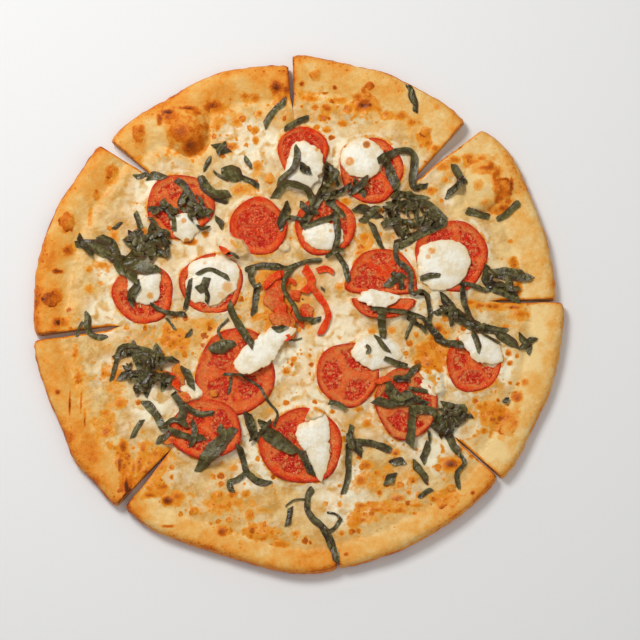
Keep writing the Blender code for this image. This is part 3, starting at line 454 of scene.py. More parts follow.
# Basil that lies by itself.
LOOSE_BASIL = (
    (7, 264, 129, 274, 114, 286, 103), (6, 284, 133, 296, 126, 309, 120),
    (10, 215, 147, 221, 152, 227, 156), (5, 226, 146, 220, 152, 217, 158),
    (5, 203, 174, 207, 167, 211, 161), (3, 213, 175, 220, 180, 228, 184),
    (6, 409, 88, 413, 97, 416, 106, 416, 116), (4, 412, 92, 411, 100, 414, 108),
    (8, 454, 168, 460, 180, 465, 188), (8, 464, 184, 456, 192, 446, 200),
    (8, 467, 214, 478, 218, 490, 221), (7, 497, 224, 506, 219, 513, 213, 520, 207),
    (5, 134, 181, 140, 180, 147, 177), (4, 113, 233, 117, 230, 121, 226),
    (7, 298, 152, 296, 168, 290, 177, 277, 187), (9, 300, 172, 306, 175, 311, 176),
    (5, 197, 280, 211, 275, 230, 284), (9, 208, 283, 204, 292, 198, 296),
    (5, 204, 290, 208, 300, 207, 308), (5, 191, 284, 189, 298, 186, 314),
    (5, 151, 309, 167, 317, 187, 318), (9, 130, 308, 134, 298, 141, 289),
    (3, 167, 322, 172, 328, 176, 334), (8, 229, 308, 236, 324, 246, 340, 254, 352),
    (3, 229, 323, 219, 334, 223, 345), (3, 226, 261, 232, 260, 239, 264),
    (12, 210, 355, 223, 351, 236, 347),
    (3, 224, 378, 240, 380, 259, 390, 268, 404, 278, 417, 274, 430),
    (3, 232, 381, 231, 390, 229, 398), (8, 185, 371, 190, 382, 193, 393),
    (9, 162, 391, 168, 385, 171, 380), (5, 144, 423, 139, 431, 134, 441),
    (7, 158, 444, 165, 441, 171, 440), (7, 240, 449, 244, 462, 248, 474, 258, 483, 271, 486),
    (6, 246, 476, 238, 482, 231, 485, 233, 494), (6, 291, 509, 290, 518, 288, 527),
    (2, 286, 508, 295, 502, 306, 501), (6, 348, 446, 348, 462, 348, 478, 343, 496),
    (8, 350, 446, 370, 446, 391, 453), (8, 346, 440, 354, 448, 362, 456),
    (6, 352, 428, 350, 440, 352, 452), (6, 329, 406, 338, 408, 346, 413),
    (8, 390, 466, 397, 464, 404, 463), (11, 384, 483, 390, 481, 395, 480),
    (8, 412, 465, 420, 474, 427, 484), (5, 418, 500, 424, 495, 431, 491),
    (5, 459, 456, 463, 466, 456, 476, 457, 491), (3, 428, 434, 429, 442, 428, 448),
    (8, 428, 446, 425, 455, 421, 464), (7, 354, 184, 358, 190, 366, 200),
    (9, 350, 196, 358, 192, 368, 184), (9, 355, 212, 366, 214, 380, 222),
    (8, 378, 210, 368, 220, 362, 226), (6, 371, 226, 377, 240, 382, 253),
    (2, 289, 346, 296, 344, 302, 342), (7, 274, 335, 280, 334, 286, 331),
    (3, 321, 292, 323, 293, 325, 295), (4, 366, 350, 369, 354, 367, 359),
    (6, 311, 326, 316, 324, 321, 323), (4, 186, 340, 190, 338, 193, 334),
    (6, 502, 406, 505, 404, 506, 401),
)
# Crumpled heaps in a clump: middle, half width across and down in steps, number of bits, and how
# much broader and longer than small shreds they are, from 0 to 1.
HEAPS = {
    "basil_left": ((149, 248), (20, 13), 13, 1.0),
    "basil_lower_left": ((146, 374), (22, 24), 24, 0.0),
    "basil_ring": ((412, 220), (28, 21), 24, 0.05),
    "basil_lower_right": ((452, 420), (13, 14), 16, 0.3),
    "basil_right": ((506, 282), (18, 10), 6, 0.5),
    "basil_top": ((330, 190), (10, 14), 6, 0.3),
    "basil_tomato_3": ((180, 214), (26, 12), 10, 0.4),
}
BROAD_LEAF = 12  # from this width in steps a leaf is drawn whole, with a vein
# Where the random draws of each kind of piece start.
SEED_DRAWS = 200
CUT_TOMATO_DRAWS = 20
STRIP_DRAWS = 700
CLUMP_DRAWS = 1000
DRAWS_A_CLUMP = 40
LOOSE_DRAWS = 3000
HEAP_DRAWS = 50


# ---------------------------------------------------------------- plan and unevenness
def place(across, down):
    """A plan position as millimetres from the middle."""
    return (across - PLAN_MIDDLE[0]) * STEP_ACROSS, (PLAN_MIDDLE[1] - down) * STEP_DOWN


def ease(share):
    share = np.clip(share, 0.0, 1.0)
    return share * share * (3 - 2 * share)


def bell(distance, width):
    """1 at no distance, and falling away smoothly within this width."""
    return np.exp(-((distance / width) ** 2))


LATTICE = np.random.default_rng(5).uniform(-1.0, 1.0, (257, 257))
LATTICE[256] = LATTICE[0]
LATTICE[:, 256] = LATTICE[:, 0]
CURVE_STEPS = np.linspace(0.0, 1.0, 12, endpoint=False)[:, None]


def uneven(x, y, size, layer):
    """Smooth unevenness from -1 to 1, with bumps about this size."""
    across = np.asarray(x) / size + 31.7 * layer + 1000
    along = np.asarray(y) / size + 17.3 * layer + 1000
    column = np.floor(across).astype(int)
    row = np.floor(along).astype(int)
    s = across - column
    t = along - row
    s = s * s * s * (s * (6 * s - 15) + 10)
    t = t * t * t * (t * (6 * t - 15) + 10)
    column %= 256
    row %= 256
    low = LATTICE[column, row] * (1 - s) + LATTICE[column + 1, row] * s
    high = LATTICE[column, row + 1] * (1 - s) + LATTICE[column + 1, row + 1] * s
    return low * (1 - t) + high * t


def rough(x, y, size, layer):
    """Unevenness with finer bumps on the coarse ones, each set turned another way."""
    x = np.asarray(x)
    y = np.asarray(y)
    coarse = uneven(x, y, size, layer)
    middling = uneven(0.8 * x + 0.6 * y, 0.8 * y - 0.6 * x, size / 2.1, layer + 1)
    fine = uneven(0.5 * x - 0.87 * y, 0.87 * x + 0.5 * y, size / 4.3, layer + 2)
    return (coarse + 0.5 * middling + 0.25 * fine) / 1.75


def between(a, b, c, d, t):
    """The point at a share t of the way from b to c on a smooth curve through a, b, c and d."""
    bend = 2 * a - 5 * b + 4 * c - d
    twist = 3 * b - a - 3 * c + d
    return 0.5 * (2 * b + (c - a) * t + bend * t**2 + twist * t**3)


def spread(dense, count):
    """This many evenly spread points on a line through many close points."""
    steps = np.linalg.norm(np.diff(dense, axis=0), axis=1)
    walked = np.concatenate(([0.0], np.cumsum(steps)))
    wanted = np.linspace(0.0, walked[-1], count)
    return np.column_stack([np.interp(wanted, walked, part) for part in dense.T])


def smooth_line(points, count):
    """Evenly spread points on a smooth line through these."""
    corners = np.array(points, float)
    first = 2 * corners[0] - corners[1]
    final = 2 * corners[-1] - corners[-2]
    corners = np.vstack((first, corners, final))
    parts = [
        between(*corners[index : index + 4], CURVE_STEPS) for index in range(len(corners) - 3)
    ]
    return spread(np.vstack((*parts, corners[-2])), count)


class Outline:
    """A closed outline round a middle. It answers how far out a plan point is."""

    def __init__(self, points):
        self.middle = points.mean(axis=0)
        away = points - self.middle
        angles = np.arctan2(away[:, 1], away[:, 0])
        order = np.argsort(angles)
        self.angles = angles[order]
        self.radii = np.hypot(away[:, 0], away[:, 1])[order]

    def radius(self, angle):
        return np.interp(angle, self.angles, self.radii, period=2 * math.pi)

    def beyond(self, x, y):
        """How far plan points lie outside the outline, less than nothing inside it."""
        across = x - self.middle[0]
        up = y - self.middle[1]
        return np.hypot(across, up) - self.radius(np.arctan2(up, across))


def torn_outline(line):
    """The outline round plan points, given across and down by turns."""
    corners = [place(*point) for point in np.reshape(line, (-1, 2))]
    looped = np.array(corners[-1:] + corners + corners[:2])
    parts = [between(*looped[index : index + 4], CURVE_STEPS) for index in range(len(corners))]
    return Outline(np.vstack(parts))


def on_turned_axes(x, y, middle, turn):
    """How far points lie along and aside from a middle, on axes turned by an angle."""
    along = (x - middle[0]) * math.cos(turn) + (y - middle[1]) * math.sin(turn)
    return along, (y - middle[1]) * math.cos(turn) - (x - middle[0]) * math.sin(turn)


def oval_outline(middle, half, turn, seed):
    x, y = place(*middle)
    tilt = math.radians(turn)
    angle = np.linspace(0.0, 2 * math.pi, 120, endpoint=False)
    uneven_by = 1 + 0.03 * np.sin(3 * angle + seed) + 0.02 * np.sin(5 * angle + 2.3 * seed)
    across = half[0] * uneven_by * np.cos(angle)
    up = half[1] * uneven_by * np.sin(angle)
    turned_x = x + across * math.cos(tilt) - up * math.sin(tilt)
    turned_y = y + across * math.sin(tilt) + up * math.cos(tilt)
    return Outline(np.column_stack((turned_x, turned_y)))


TOMATO_SHAPES = {
    name: oval_outline(middle, half, turn, seed)
    for seed, (name, (middle, half, turn, *_)) in enumerate(TOMATOES.items())
}
TOMATO_SHAPES.update((name, torn_outline(line)) for name, (_, _, _, *line) in CUT_TOMATO.items())
MOZZARELLA_SHAPES = {
    name: torn_outline(line) for name, (_, _, _, _, *line) in MOZZARELLA.items()
}


# ---------------------------------------------------------------- slices
def neighbour_gaps(name):
    """Half the angle left open beside a slice's start side and its end side."""
    index = RING_ORDER.index(name)
    before = SLICES[RING_ORDER[index - 1]]
    after = SLICES[RING_ORDER[(index + 1) % len(RING_ORDER)]]
    cut = SLICES[name]
    return (cut["start"] - before["end"]) % 360 / 2, (after["start"] - cut["end"]) % 360 / 2


def openness(name, radius):
    """How far the cuts at the start and at the end side stand open, from 0 to 1."""
    index = RING_ORDER.index(name)
    after = SLICES[RING_ORDER[(index + 1) % len(RING_ORDER)]]
    at_start = ease((radius - SLICES[name]["opens"]) / OPENING_LENGTH)
    at_end = ease((radius - after["opens"]) / OPENING_LENGTH)
    return at_start, at_end


def in_slice(name, share, radius, joined=False):
    """Plan points at a share of the way from the start side to the end side, at a radius."""
    cut = SLICES[name]
    swung = ease((radius - cut["swing_from"]) / (SWING_WHOLE - cut["swing_from"]))
    start = cut["start"] + cut["start_swing"] * swung
    end = cut["end"] + cut["end_swing"] * swung
    inset = 0.55 * AIR * np.ones_like(radius)
    start_inset = inset
    end_inset = inset
    if joined:
        open_start, open_end = openness(name, radius)
        gap_start, gap_end = neighbour_gaps(name)
        start = start - gap_start * (1 - open_start)
        end = end + gap_end * (1 - open_end)
        start_inset = inset * open_start
        end_inset = inset * open_end
    angle = np.radians(start + (end - start) * share)
    inward = start_inset * (1 - share) - end_inset * share
    middle = place(*CUTS_MEET)
    x = middle[0] + radius * np.cos(angle) - inward * np.sin(angle)
    y = middle[1] + radius * np.sin(angle) + inward * np.cos(angle)
    return x, y


def rim_radius(name, share):
    cut = SLICES[name]
    values = np.array(cut["rim"], float)
    last = len(values) - 1
    along = np.clip(share, 0.0, 1.0) * last
    index = np.minimum(along.astype(int), last - 1)
    t = along - index
    here = values[index]
    there = values[index + 1]
    slope_here = (there - values[np.maximum(index - 1, 0)]) / 2
    slope_there = (values[np.minimum(index + 2, last)] - here) / 2
    radius = (
        (2 * t**3 - 3 * t**2 + 1) * here
        + (t**3 - 2 * t**2 + t) * slope_here
        + (3 * t**2 - 2 * t**3) * there
        + (t**3 - t**2) * slope_there
    )
    width = radius * math.radians(cut["end"] - cut["start"])
    from_side = np.minimum(share, 1 - share) * width
    return radius - CORNER_ROUNDING * np.exp(-from_side / CORNER_REACH)


def cheese_radius(name, share, bays=CHEESE_BAYS):
    """How far out the cheese lies as a full layer."""
    cut = SLICES[name]
    angle = cut["start"] + (cut["end"] - cut["start"]) * share
    radius = rim_radius(name, 0.02 + 0.96 * share) - cut["bare"]
    waves = [
        noise.noise(Vector((3 * math.cos(turn), 3 * math.sin(turn), 4.0)))
        for turn in np.radians(angle)
    ]
    radius = radius + 2.2 * np.array(waves)
    for slice_name, bay_angle, half, depth in bays:
        if slice_name == name:
            radius = radius - depth * ease(1.6 * (1 - np.abs(angle - bay_angle) / half))
    return radius


def bubble_rise(name, x, y):
    rise = np.zeros_like(x)
    for slice_name, middle, half, height in BUBBLES:
        if slice_name == name:
            at = place(*middle)
            far = np.hypot((x - at[0]) / half[0], (y - at[1]) / half[1])
            far = far * (1 + 0.06 * uneven(x, y, 6.0, 40))
            inside = np.cos(np.minimum(far, 1.0) * math.pi / 2)
            rise = rise + height * np.maximum(inside, 0.0) ** 0.6
    return rise


def rim_curve():
    """The rim section as close points: share, inset and height, evenly walked."""
    points = np.array(RIM_SECTION, float)
    points[:, 0] *= BARE_WIDTH
    curve = smooth_line(points, 400)
    curve[:, 0] /= BARE_WIDTH
    curve[-1, 2] = 0.0
    curve[:, 2] = np.maximum(curve[:, 2], 0.0)
    return curve


RIM = rim_curve()
RIM_TOP = RIM[: int(np.argmax(RIM[:, 0] > SHOULDER)) + 1]
RIM_SIDE = RIM[len(RIM_TOP) - 1 :]


def near_places(x, y, places, softness):
    """The strongest of several round soft places, each a plan position, radius and strength."""
    found = np.zeros_like(x)
    for across, down, radius, strength in places:
        at = place(across, down)
        far = np.hypot(x - at[0], y - at[1]) / (radius * STEP_ACROSS)
        found = np.maximum(found, strength * ease((1 + softness - far) / (2 * softness)))
    return found


def dough_under_cheese(x, y, radius, edge):
    """The height of the dough from the tip to the cheese's edge."""
    toward_edge = ease(((radius - TIP_RADIUS) / (edge - TIP_RADIUS) - 0.7) / 0.3)
    dough = DOUGH + 0.3 * uneven(x, y, 40, 1) * (1 - toward_edge)
    return dough + (DOUGH_AT_CHEESE_EDGE - DOUGH) * toward_edge


def in_oval(x, y, across, down, half_across, half_down):
    """How far aside and up from the middle of an oval of the plan, in shares of its half widths."""
    at = place(across, down)
    return (x - at[0]) / (half_across * STEP_ACROSS), (y - at[1]) / (half_down * STEP_DOWN)


def browned(x, y):
    """How far blisters stand up, and how brown they are; some of the brown is painted shade."""
    rise = np.zeros_like(x)
    brown = np.zeros_like(x)
    wobble = 1 + 0.2 * uneven(x, y, 4.0, 50) + 0.12 * uneven(x, y, 1.8, 51)
    turned_x = 0.8 * x + 0.6 * y
    turned_y = 0.8 * y - 0.6 * x
    ragged = wobble + 0.32 * uneven(turned_x, turned_y, 6.0, 52) + 0.2 * uneven(x, y, 2.8, 53)
    broken = ease(0.62 + 0.9 * uneven(turned_x, turned_y, 5.0, 55))
    boiled = 1 + 0.3 * uneven(x, y, 3.4, 54)
    for *oval, strength in GLAZED:
        far = np.hypot(*in_oval(x, y, *oval))
        brown = np.maximum(brown, 0.38 * strength * boiled * ease((1.12 - far * ragged) / 0.5))
    for *oval, strength, darkest in BLISTERS + tuple((*spot, 0) for spot in BROWNED_AND_SHADED):
        aside, up = in_oval(x, y, *oval)
        far = np.hypot(aside, up)
        if far.min() > 2.2:
            continue
        far = far * wobble
        soft = np.exp(-1.5 * far ** (2.0 + 1.2 * strength))
        size = min(oval[2:])
        if darkest:
            # The ring is browned all round, and painted shade darkens one side of it.
            shaded = 0.6 - 0.4 * darkest * (up + 0.5 * aside) / np.maximum(far, 0.2)
            edge = bell(far - 0.86, 0.13) * np.clip(shaded, 0.1, 1) * broken
            filled = 0.44 * ease((1.08 - far) / 0.3) * boiled
            brown = np.maximum(brown, strength * np.maximum(filled, 1.2 * edge))
            rise = rise + 0.16 * size * (soft - 0.2 * edge)
        else:
            core = np.exp(-2.6 * np.hypot(aside + 0.15, up + 0.25) ** 2)
            brown = np.maximum(brown, strength * (0.72 * soft + 0.36 * core))
            rise = rise + 0.06 * size * soft
    return rise, np.clip(brown, 0, 1.1)


def crust_top(name, radius, edge, rim, x, y):
    """The height of the dough: thin under the cheese, then up over the rim."""
    outer = (radius - edge) / (rim - edge)
    height = np.interp(outer, RIM[: len(RIM_TOP) + 40, 0], RIM[: len(RIM_TOP) + 40, 2])
    lift = 1 + 0.1 * uneven(x, y, 45, 2) + 0.06 * uneven(x, y, 17, 3)
    bulge = DOUGH_AT_CHEESE_EDGE + (height - DOUGH_AT_CHEESE_EDGE) * lift
    bare = ease(outer / 0.25)
    fine = 0.34 * uneven(x, y, 9.0, 4) + 0.2 * uneven(x, y, 4.0, 5) + 0.1 * uneven(x, y, 1.9, 6)
    top = np.where(radius < edge, dough_under_cheese(x, y, radius, edge), bulge)
    return top + bare * fine + bubble_rise(name, x, y)


def limited(height):
    """Keeps the highest places of the dough a little below the top."""
    over = np.maximum(height - HIGHEST + CROWN, 0)
    return np.where(over > 0, HIGHEST - CROWN + 1.1 * np.tanh(over / 1.1), height)


def crust_bake(name, x, y, outer):
    """How far the crust is baked, by its share of the way out over the bare rim."""
    tone = 0.2 + SLICES[name]["baked"] + 0.17 * rough(x, y, 22.0, 21)
    tone = tone - near_places(x, y, PALE_DOUGH, 0.8)
    edge_burn = ease((outer - 0.7) / 0.32) * (0.09 + 0.4 * rough(x, y, 16.0, 20))
    return tone + edge_burn - 0.16 * (1 - ease(outer / 0.4)) + 0.05 * ease((outer - 0.3) / 0.4)


def lifted_near_toppings(x, y):
    """How the melted cheese swells beside the toppings, and runs over some of them."""
    rise = np.zeros_like(x)
    for shape in list(TOMATO_SHAPES.values()) + list(MOZZARELLA_SHAPES.values()):
        rise = np.maximum(rise, 1.5 * bell(shape.beyond(x, y), 3.0))
    for middle, half, turn, height in RUN_OVER:
        across, up = on_turned_axes(x, y, place(*middle), math.radians(turn))
        far = np.hypot(across / half[0], up / half[1]) * (1 + 0.15 * uneven(x, y, 4.0, 60))
        rise = rise + height * ease(2.2 * (1.12 - far))
    return rise


# ---------------------------------------------------------------- starting forms
def counted(values):
    """Numbers the different values, smallest first."""
    return np.unique(np.round(values, 4), return_inverse=True)[1].reshape(-1)


def read_points(piece):
    points = np.empty(len(piece.data.vertices) * 3)
    piece.data.vertices.foreach_get("co", points)
    return points.reshape(-1, 3)


def place_points(piece, x, y, z):
    points = np.column_stack((x, y, z)) * MM
    piece.data.vertices.foreach_set("co", points.ravel())
    piece.data.update()


def start_editing(piece):
    bpy.ops.object.select_all(action="DESELECT")
    bpy.context.view_layer.objects.active = piece
    piece.select_set(True)
    bpy.ops.object.mode_set(mode="EDIT")


def add_form(name, make, **settings):
    """A new form made by one of Blender's own operators, under a name."""
    bpy.ops.object.select_all(action="DESELECT")
    make(**settings)
    piece = bpy.context.active_object
    piece.name = name
    piece.data.name = name
    return piece


def even_grid(name, columns, rows):
    make = bpy.ops.mesh.primitive_grid_add
    piece = add_form(name, make, x_subdivisions=columns, y_subdivisions=rows, size=1.0)
    start_editing(piece)
    return piece


def even_steps(piece):
    """For each point its number across, up and down, counted in steps."""
    steps = read_points(piece)
    return counted(steps[:, 0]), counted(steps[:, 1]), counted(-steps[:, 2])


def block(name, columns, rows, levels):
    """A grid with walls down from its border and a closed bottom, still in even steps."""
    piece = even_grid(name, columns, rows)
    bpy.ops.mesh.select_mode(type="EDGE")
    bpy.ops.mesh.select_all(action="DESELECT")
    others = ("use_wire", "use_multi_face", "use_non_contiguous", "use_verts")
    left_out = dict.fromkeys(others, False)
    bpy.ops.mesh.select_non_manifold(extend=False, use_boundary=True, **left_out)
    for _ in range(levels):
        bpy.ops.mesh.extrude_edges_move(TRANSFORM_OT_translate={"value": (0, 0, -1)})
    bpy.ops.mesh.edge_face_add()
    bpy.ops.object.mode_set(mode="OBJECT")
    return piece, *even_steps(piece)


def strip(columns, rows):
    """A thin closed sheet in even steps, both faces split alike. The last number is 1 on top."""
    piece = even_grid("strip", columns, rows)
    bpy.ops.mesh.select_all(action="SELECT")
    bpy.ops.mesh.extrude_region_move(TRANSFORM_OT_translate={"value": (0, 0, 1)})
    bpy.ops.object.mode_set(mode="OBJECT")
    across, up, down = even_steps(piece)
    return piece, across, up, 1 - down


def round_form(name, sides, rings):
    """A ball in even steps: the ring, from the top, and the angle of each point."""
    make = bpy.ops.mesh.primitive_uv_sphere_add
    piece = add_form(name, make, segments=sides, ring_count=rings, radius=1.0)
    steps = read_points(piece)
    return piece, counted(-steps[:, 2]), np.arctan2(steps[:, 1], steps[:, 0])


def write_masks(piece, **masks):
    for mask, values in masks.items():
        layer = piece.data.attributes.new(mask, "FLOAT", "POINT")
        layer.data.foreach_set("value", np.asarray(values, np.float32))


def finish_piece(piece, slot, look, nodes=(), smooth=60, **masks):
    """Closes up a piece: outward faces, soft shading, masks for its finish and body. Slot is not
    used.
    """
    write_masks(piece, **masks)
    start_editing(piece)
    bpy.ops.mesh.select_all(action="SELECT")
    bpy.ops.mesh.normals_make_consistent(inside=False)
    bpy.ops.object.mode_set(mode="OBJECT")
    bpy.ops.object.shade_smooth_by_angle(angle=math.radians(smooth))
    piece.data.materials.clear()
    piece.data.materials.append(look)
    if nodes:
        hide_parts(*nodes)
    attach(piece, "root")


class Surface:
    """How high the pizza stands, on a raster in the plan. Toppings are laid on it."""

    CELL = 1.0
    HALF = 190

    def __init__(self):
        self.heights = np.zeros((2 * self.HALF, 2 * self.HALF))

    def cells(self, x, y):
        column = np.clip((np.asarray(x) / self.CELL + self.HALF).astype(int), 1, 2 * self.HALF - 2)
        row = np.clip((np.asarray(y) / self.CELL + self.HALF).astype(int), 1, 2 * self.HALF - 2)
        return column, row

    def add(self, x, y, z):
        np.maximum.at(self.heights, self.cells(x, y), z)

    def height(self, x, y):
        column, row = self.cells(x, y)
        best = self.heights[column, row]
        for side, up in ((-1, 0), (1, 0), (0, -1), (0, 1)):
            best = np.maximum(best, self.heights[column + side, row + up])
        return best


surface = Surface()


def lay(piece, x, y, z, upper):
    """Sets a piece's points, and raises the surface to its upper ones."""
    place_points(piece, x, y, z)
    surface.add(x[upper], y[upper], z[upper])


def resting_plane(node, mean_height):
    """The tilted plane that a topping of the frame rests on: height, slope across, slope up."""
    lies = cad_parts[node]
    points = np.array([lies.matrix_world @ vert.co for vert in lies.data.vertices]) / MM
    points = np.unique(np.round(points, 2), axis=0)
    flat = np.column_stack((np.ones(len(points)), points[:, :2]))
    plane = np.linalg.lstsq(flat, points[:, 2], rcond=None)[0]
    plane[0] -= mean_height
    return plane


def on_plane(plane, x, y):
    return plane[0] + plane[1] * x + plane[2] * y


# ---------------------------------------------------------------- finishes
def paint(red, green, blue):
    """A colour as seen, 0 to 255, in the shader's terms."""
    parts = [part / 255 for part in (red, green, blue)]
    parts = [part / 12.92 if part < 0.04 else ((part + 0.055) / 1.055) ** 2.4 for part in parts]
    return (*parts, 1.0)


class Graph:
    """A node tree, with short ways to add nodes and join them."""

    def __init__(self, tree):
        self.tree = tree

    def node(self, kind, *values, out=0, **settings):
        """Adds a node. Values go to its inputs in order, and None leaves one as it is."""
        made = self.tree.nodes.new("ShaderNode" + kind)
        for key, value in settings.items():
            setattr(made, key, value)
        for index, value in enumerate(values):
            if value is not None:
                self.feed(made.inputs[index], value)
        return made.outputs[out]

    def feed(self, socket, value):
        if isinstance(value, bpy.types.NodeSocket):
            self.tree.links.new(value, socket)
        else:
            socket.default_value = value

    def maths(self, operation, *values, clamp=False):
        return self.node("Math", *values, operation=operation, use_clamp=clamp)

    def times(self, value, amount):
        return self.maths("MULTIPLY", value, amount)

    def times_plus(self, value, amount, added):
        return self.maths("MULTIPLY_ADD", value, amount, added)

    def stirred(self, value, unevenness, amount):
        """A value that unevenness round one half moves up and down."""
        return self.times_plus(self.maths("SUBTRACT", unevenness, 0.5), amount, value)

    def texture(self, where, per_metre, detail=2.0, twist=0.0, out="Fac"):
        made = self.tree.nodes.new("ShaderNodeTexNoise")
        made.inputs["Detail"].default_value = detail
        made.inputs["Distortion"].default_value = twist
        self.feed(made.inputs["Vector"], where)
        self.feed(made.inputs["Scale"], per_metre)
        return made.outputs[out]

    def noise(self, where, size, detail=2.0, twist=0.0):
        """Even noise with bumps of this size in millimetres."""
        return self.texture(where, 1 / (size * MM), detail, twist)

    def between(self, value, low, high, to_low=0.0, to_high=1.0):
        """A value eased from one range into another."""
        limits = (low, high, to_low, to_high)
        return self.node("MapRange", value, *limits, interpolation_type="SMOOTHSTEP")

    def mix(self, share, first, second):
        """A share of the way from the first colour to the second."""
        return self.node("Mix", share, *[None] * 5, first, second, out=2, data_type="RGBA")

    def ramp(self, value, *stops):
        """Colours along a value: (position, colour) stops."""
        colour = self.node("ValToRGB", value)
        line = colour.node.color_ramp
        line.elements[0].position, line.elements[0].color = stops[0]
        line.elements[1].position, line.elements[1].color = stops[-1]
        for position, between in stops[1:-1]:
            line.elements.new(position).color = between
        return colour

    def mask(self, name):
        return self.node("Attribute", out="Fac", attribute_name=name)

    def group(self, tree, *values):
        return self.node("Group", *values, node_tree=tree).node.outputs

    def clouds(self, where, per_metre, contrast):
        """Soft cloudy variation at two sizes, round one half."""
        inputs = {"Coarse per metre": 120.0, "Contrast": 1.0}
        tree = shared_group("cloudy_variation", inputs, ("Value",), cloud_nodes)
        return self.group(tree, where, per_metre, contrast)[0]

    def specks(self, where, spacing, density):
        """Small round browned specks of uneven size, where the density allows them, and rings."""
        inputs = {"Spacing in mm": 3.0, "Density": 0.5}
        tree = shared_group("browned_specks", inputs, ("Speck", "Ring"), speck_nodes)
        return self.group(tree, where, spacing, density)

    def baked(self, where, colours, bake, brown=0.0, freckle=0.0):
        """Crust colour by how far it is baked, and that as a value."""
        inputs = {"Bake": 0.2, "Brown": 0.0, "Freckle": 0.0}
        fill = functools.partial(baked_nodes, colours)
        tree = shared_group("baked_tone", inputs, ("Color", "Baked"), fill)
        return self.group(tree, where, bake, brown, freckle)

    def bumps(self, *layers):
        """A normal with bumps on it: for each layer its height, and how far it stands out."""
        normal = None
        for height, distance in layers:
            made = self.tree.nodes.new("ShaderNodeBump")
            made.inputs["Strength"].default_value = 1.0
            made.inputs["Distance"].default_value = distance * MM
            self.feed(made.inputs["Height"], height)
            if normal:
                self.feed(made.inputs["Normal"], normal)
            normal = made.outputs["Normal"]
        return normal


def shared_group(name, numbers, results, fill):
    """A node group that takes a place and some numbers. It is filled once, and then shared."""
    tree = bpy.data.node_groups.get(name)
    if tree:
        return tree
    tree = bpy.data.node_groups.new(name, "ShaderNodeTree")
    tree.interface.new_socket("Vector", in_out="INPUT", socket_type="NodeSocketVector")
    for label, number in numbers.items():
        socket = tree.interface.new_socket(label, in_out="INPUT", socket_type="NodeSocketFloat")
        socket.default_value = number
    for label in results:
        kind = "NodeSocketColor" if label == "Color" else "NodeSocketFloat"
        tree.interface.new_socket(label, in_out="OUTPUT", socket_type=kind)
    graph = Graph(tree)
    entry = tree.nodes.new("NodeGroupInput")
    leave = tree.nodes.new("NodeGroupOutput")
    made = fill(graph, *entry.outputs[: 1 + len(numbers)])
    for label, value in zip(results, made):
        graph.feed(leave.inputs[label], value)
    return tree


def speck_nodes(graph, where, spacing, density):
    scale = graph.maths("DIVIDE", 1 / MM, spacing)
    warp = graph.texture(where, graph.times(scale, 2.1), out="Color")
    moved = graph.node("VectorMath", warp, (0.5, 0.5, 0.5), operation="SUBTRACT")
    reach = graph.maths("DIVIDE", 0.45, scale)
    moved = graph.node("VectorMath", moved, None, None, reach, operation="SCALE")
    moved = graph.node("VectorMath", moved, where, operation="ADD")
    cells = graph.node("TexVoronoi", moved).node
    cells.inputs["Randomness"].default_value = 0.9
    graph.feed(cells.inputs["Scale"], scale)
    parts = graph.node("SeparateColor", cells.outputs["Color"]).node.outputs
    allowed = graph.between(graph.maths("SUBTRACT", density, parts[1]), 0.0, 0.15)
    size = graph.times_plus(parts[0], 0.24, 0.12)
    inside = graph.maths("SUBTRACT", size, cells.outputs["Distance"])
    speck = graph.times(graph.between(inside, -0.2, 0.1), allowed)
    ring = graph.maths("ABSOLUTE", graph.maths("SUBTRACT", inside, 0.03))
    return speck, graph.times(graph.between(ring, 0.0, 0.07, 1.0, 0.0), allowed)


def cloud_nodes(graph, where, per_metre, contrast):
    coarse = graph.texture(where, per_metre, 3.0)
    fine = graph.texture(where, graph.times(per_metre, 5.3))
    both = graph.maths("ADD", graph.times_plus(fine, 0.4, -0.2), coarse)
    away = graph.times_plus(graph.maths("SUBTRACT", both, 0.5), contrast, 0.5)
    return (graph.maths("ADD", away, 0.0, clamp=True),)


def baked_nodes(colours, graph, where, bake, brown, freckle):
    """Clouded, freckled crust with crisp browned places."""
    baked = graph.stirred(bake, graph.clouds(where, 62.0, 1.7), 0.4)
    baked = graph.stirred(baked, graph.clouds(where, 170.0, 1.6), 0.22)
    baked = graph.stirred(baked, graph.noise(where, 0.8, 3.0), 0.2)
    brown = graph.stirred(brown, graph.noise(where, 1.4, 3.0, 0.4), 0.4)
    crisp = graph.between(brown, 0.26, 0.5)
    baked = graph.maths("ADD", baked, graph.times(crisp, graph.times_plus(brown, 0.5, -0.04)))
    baked = graph.times_plus(graph.between(brown, 0.05, 0.34), 0.29, baked)
    grain = graph.between(graph.noise(where, 0.55), 0.52, 0.7)
    baked = graph.times_plus(graph.times(grain, freckle), 0.3, baked)
    baked = graph.times_plus(graph.specks(where, 2.4, freckle)[0], 0.2, baked)
    tone = graph.ramp(
        baked,
        (0.0, colours.crust_pale),
        (0.24, colours.crust_gold),
        (0.45, colours.crust_orange),
        (0.64, paint(214, 108, 12)),
        (0.84, colours.crust_brown),
        (1.0, paint(92, 42, 12)),
    )
    return tone, baked


def new_look(name):
    """An empty finish, its graph, and the place of each point in it."""
    look = bpy.data.materials.new(name)
    look.use_nodes = True
    graph = Graph(look.node_tree)
    return look, graph, graph.node("TexCoord", out="Object")


def dress(look, colour, roughness, shine=0.5, bumps=()):
    """Joins a finish to its shader, and gives it back."""
    inputs = look.node_tree.nodes["Principled BSDF"].inputs
    graph = Graph(look.node_tree)
    graph.feed(inputs["Base Color"], colour)
    graph.feed(inputs["Roughness"], roughness)
    inputs["Specular IOR Level"].default_value = shine
    if bumps:
        graph.feed(inputs["Normal"], graph.bumps(*bumps))
    return look


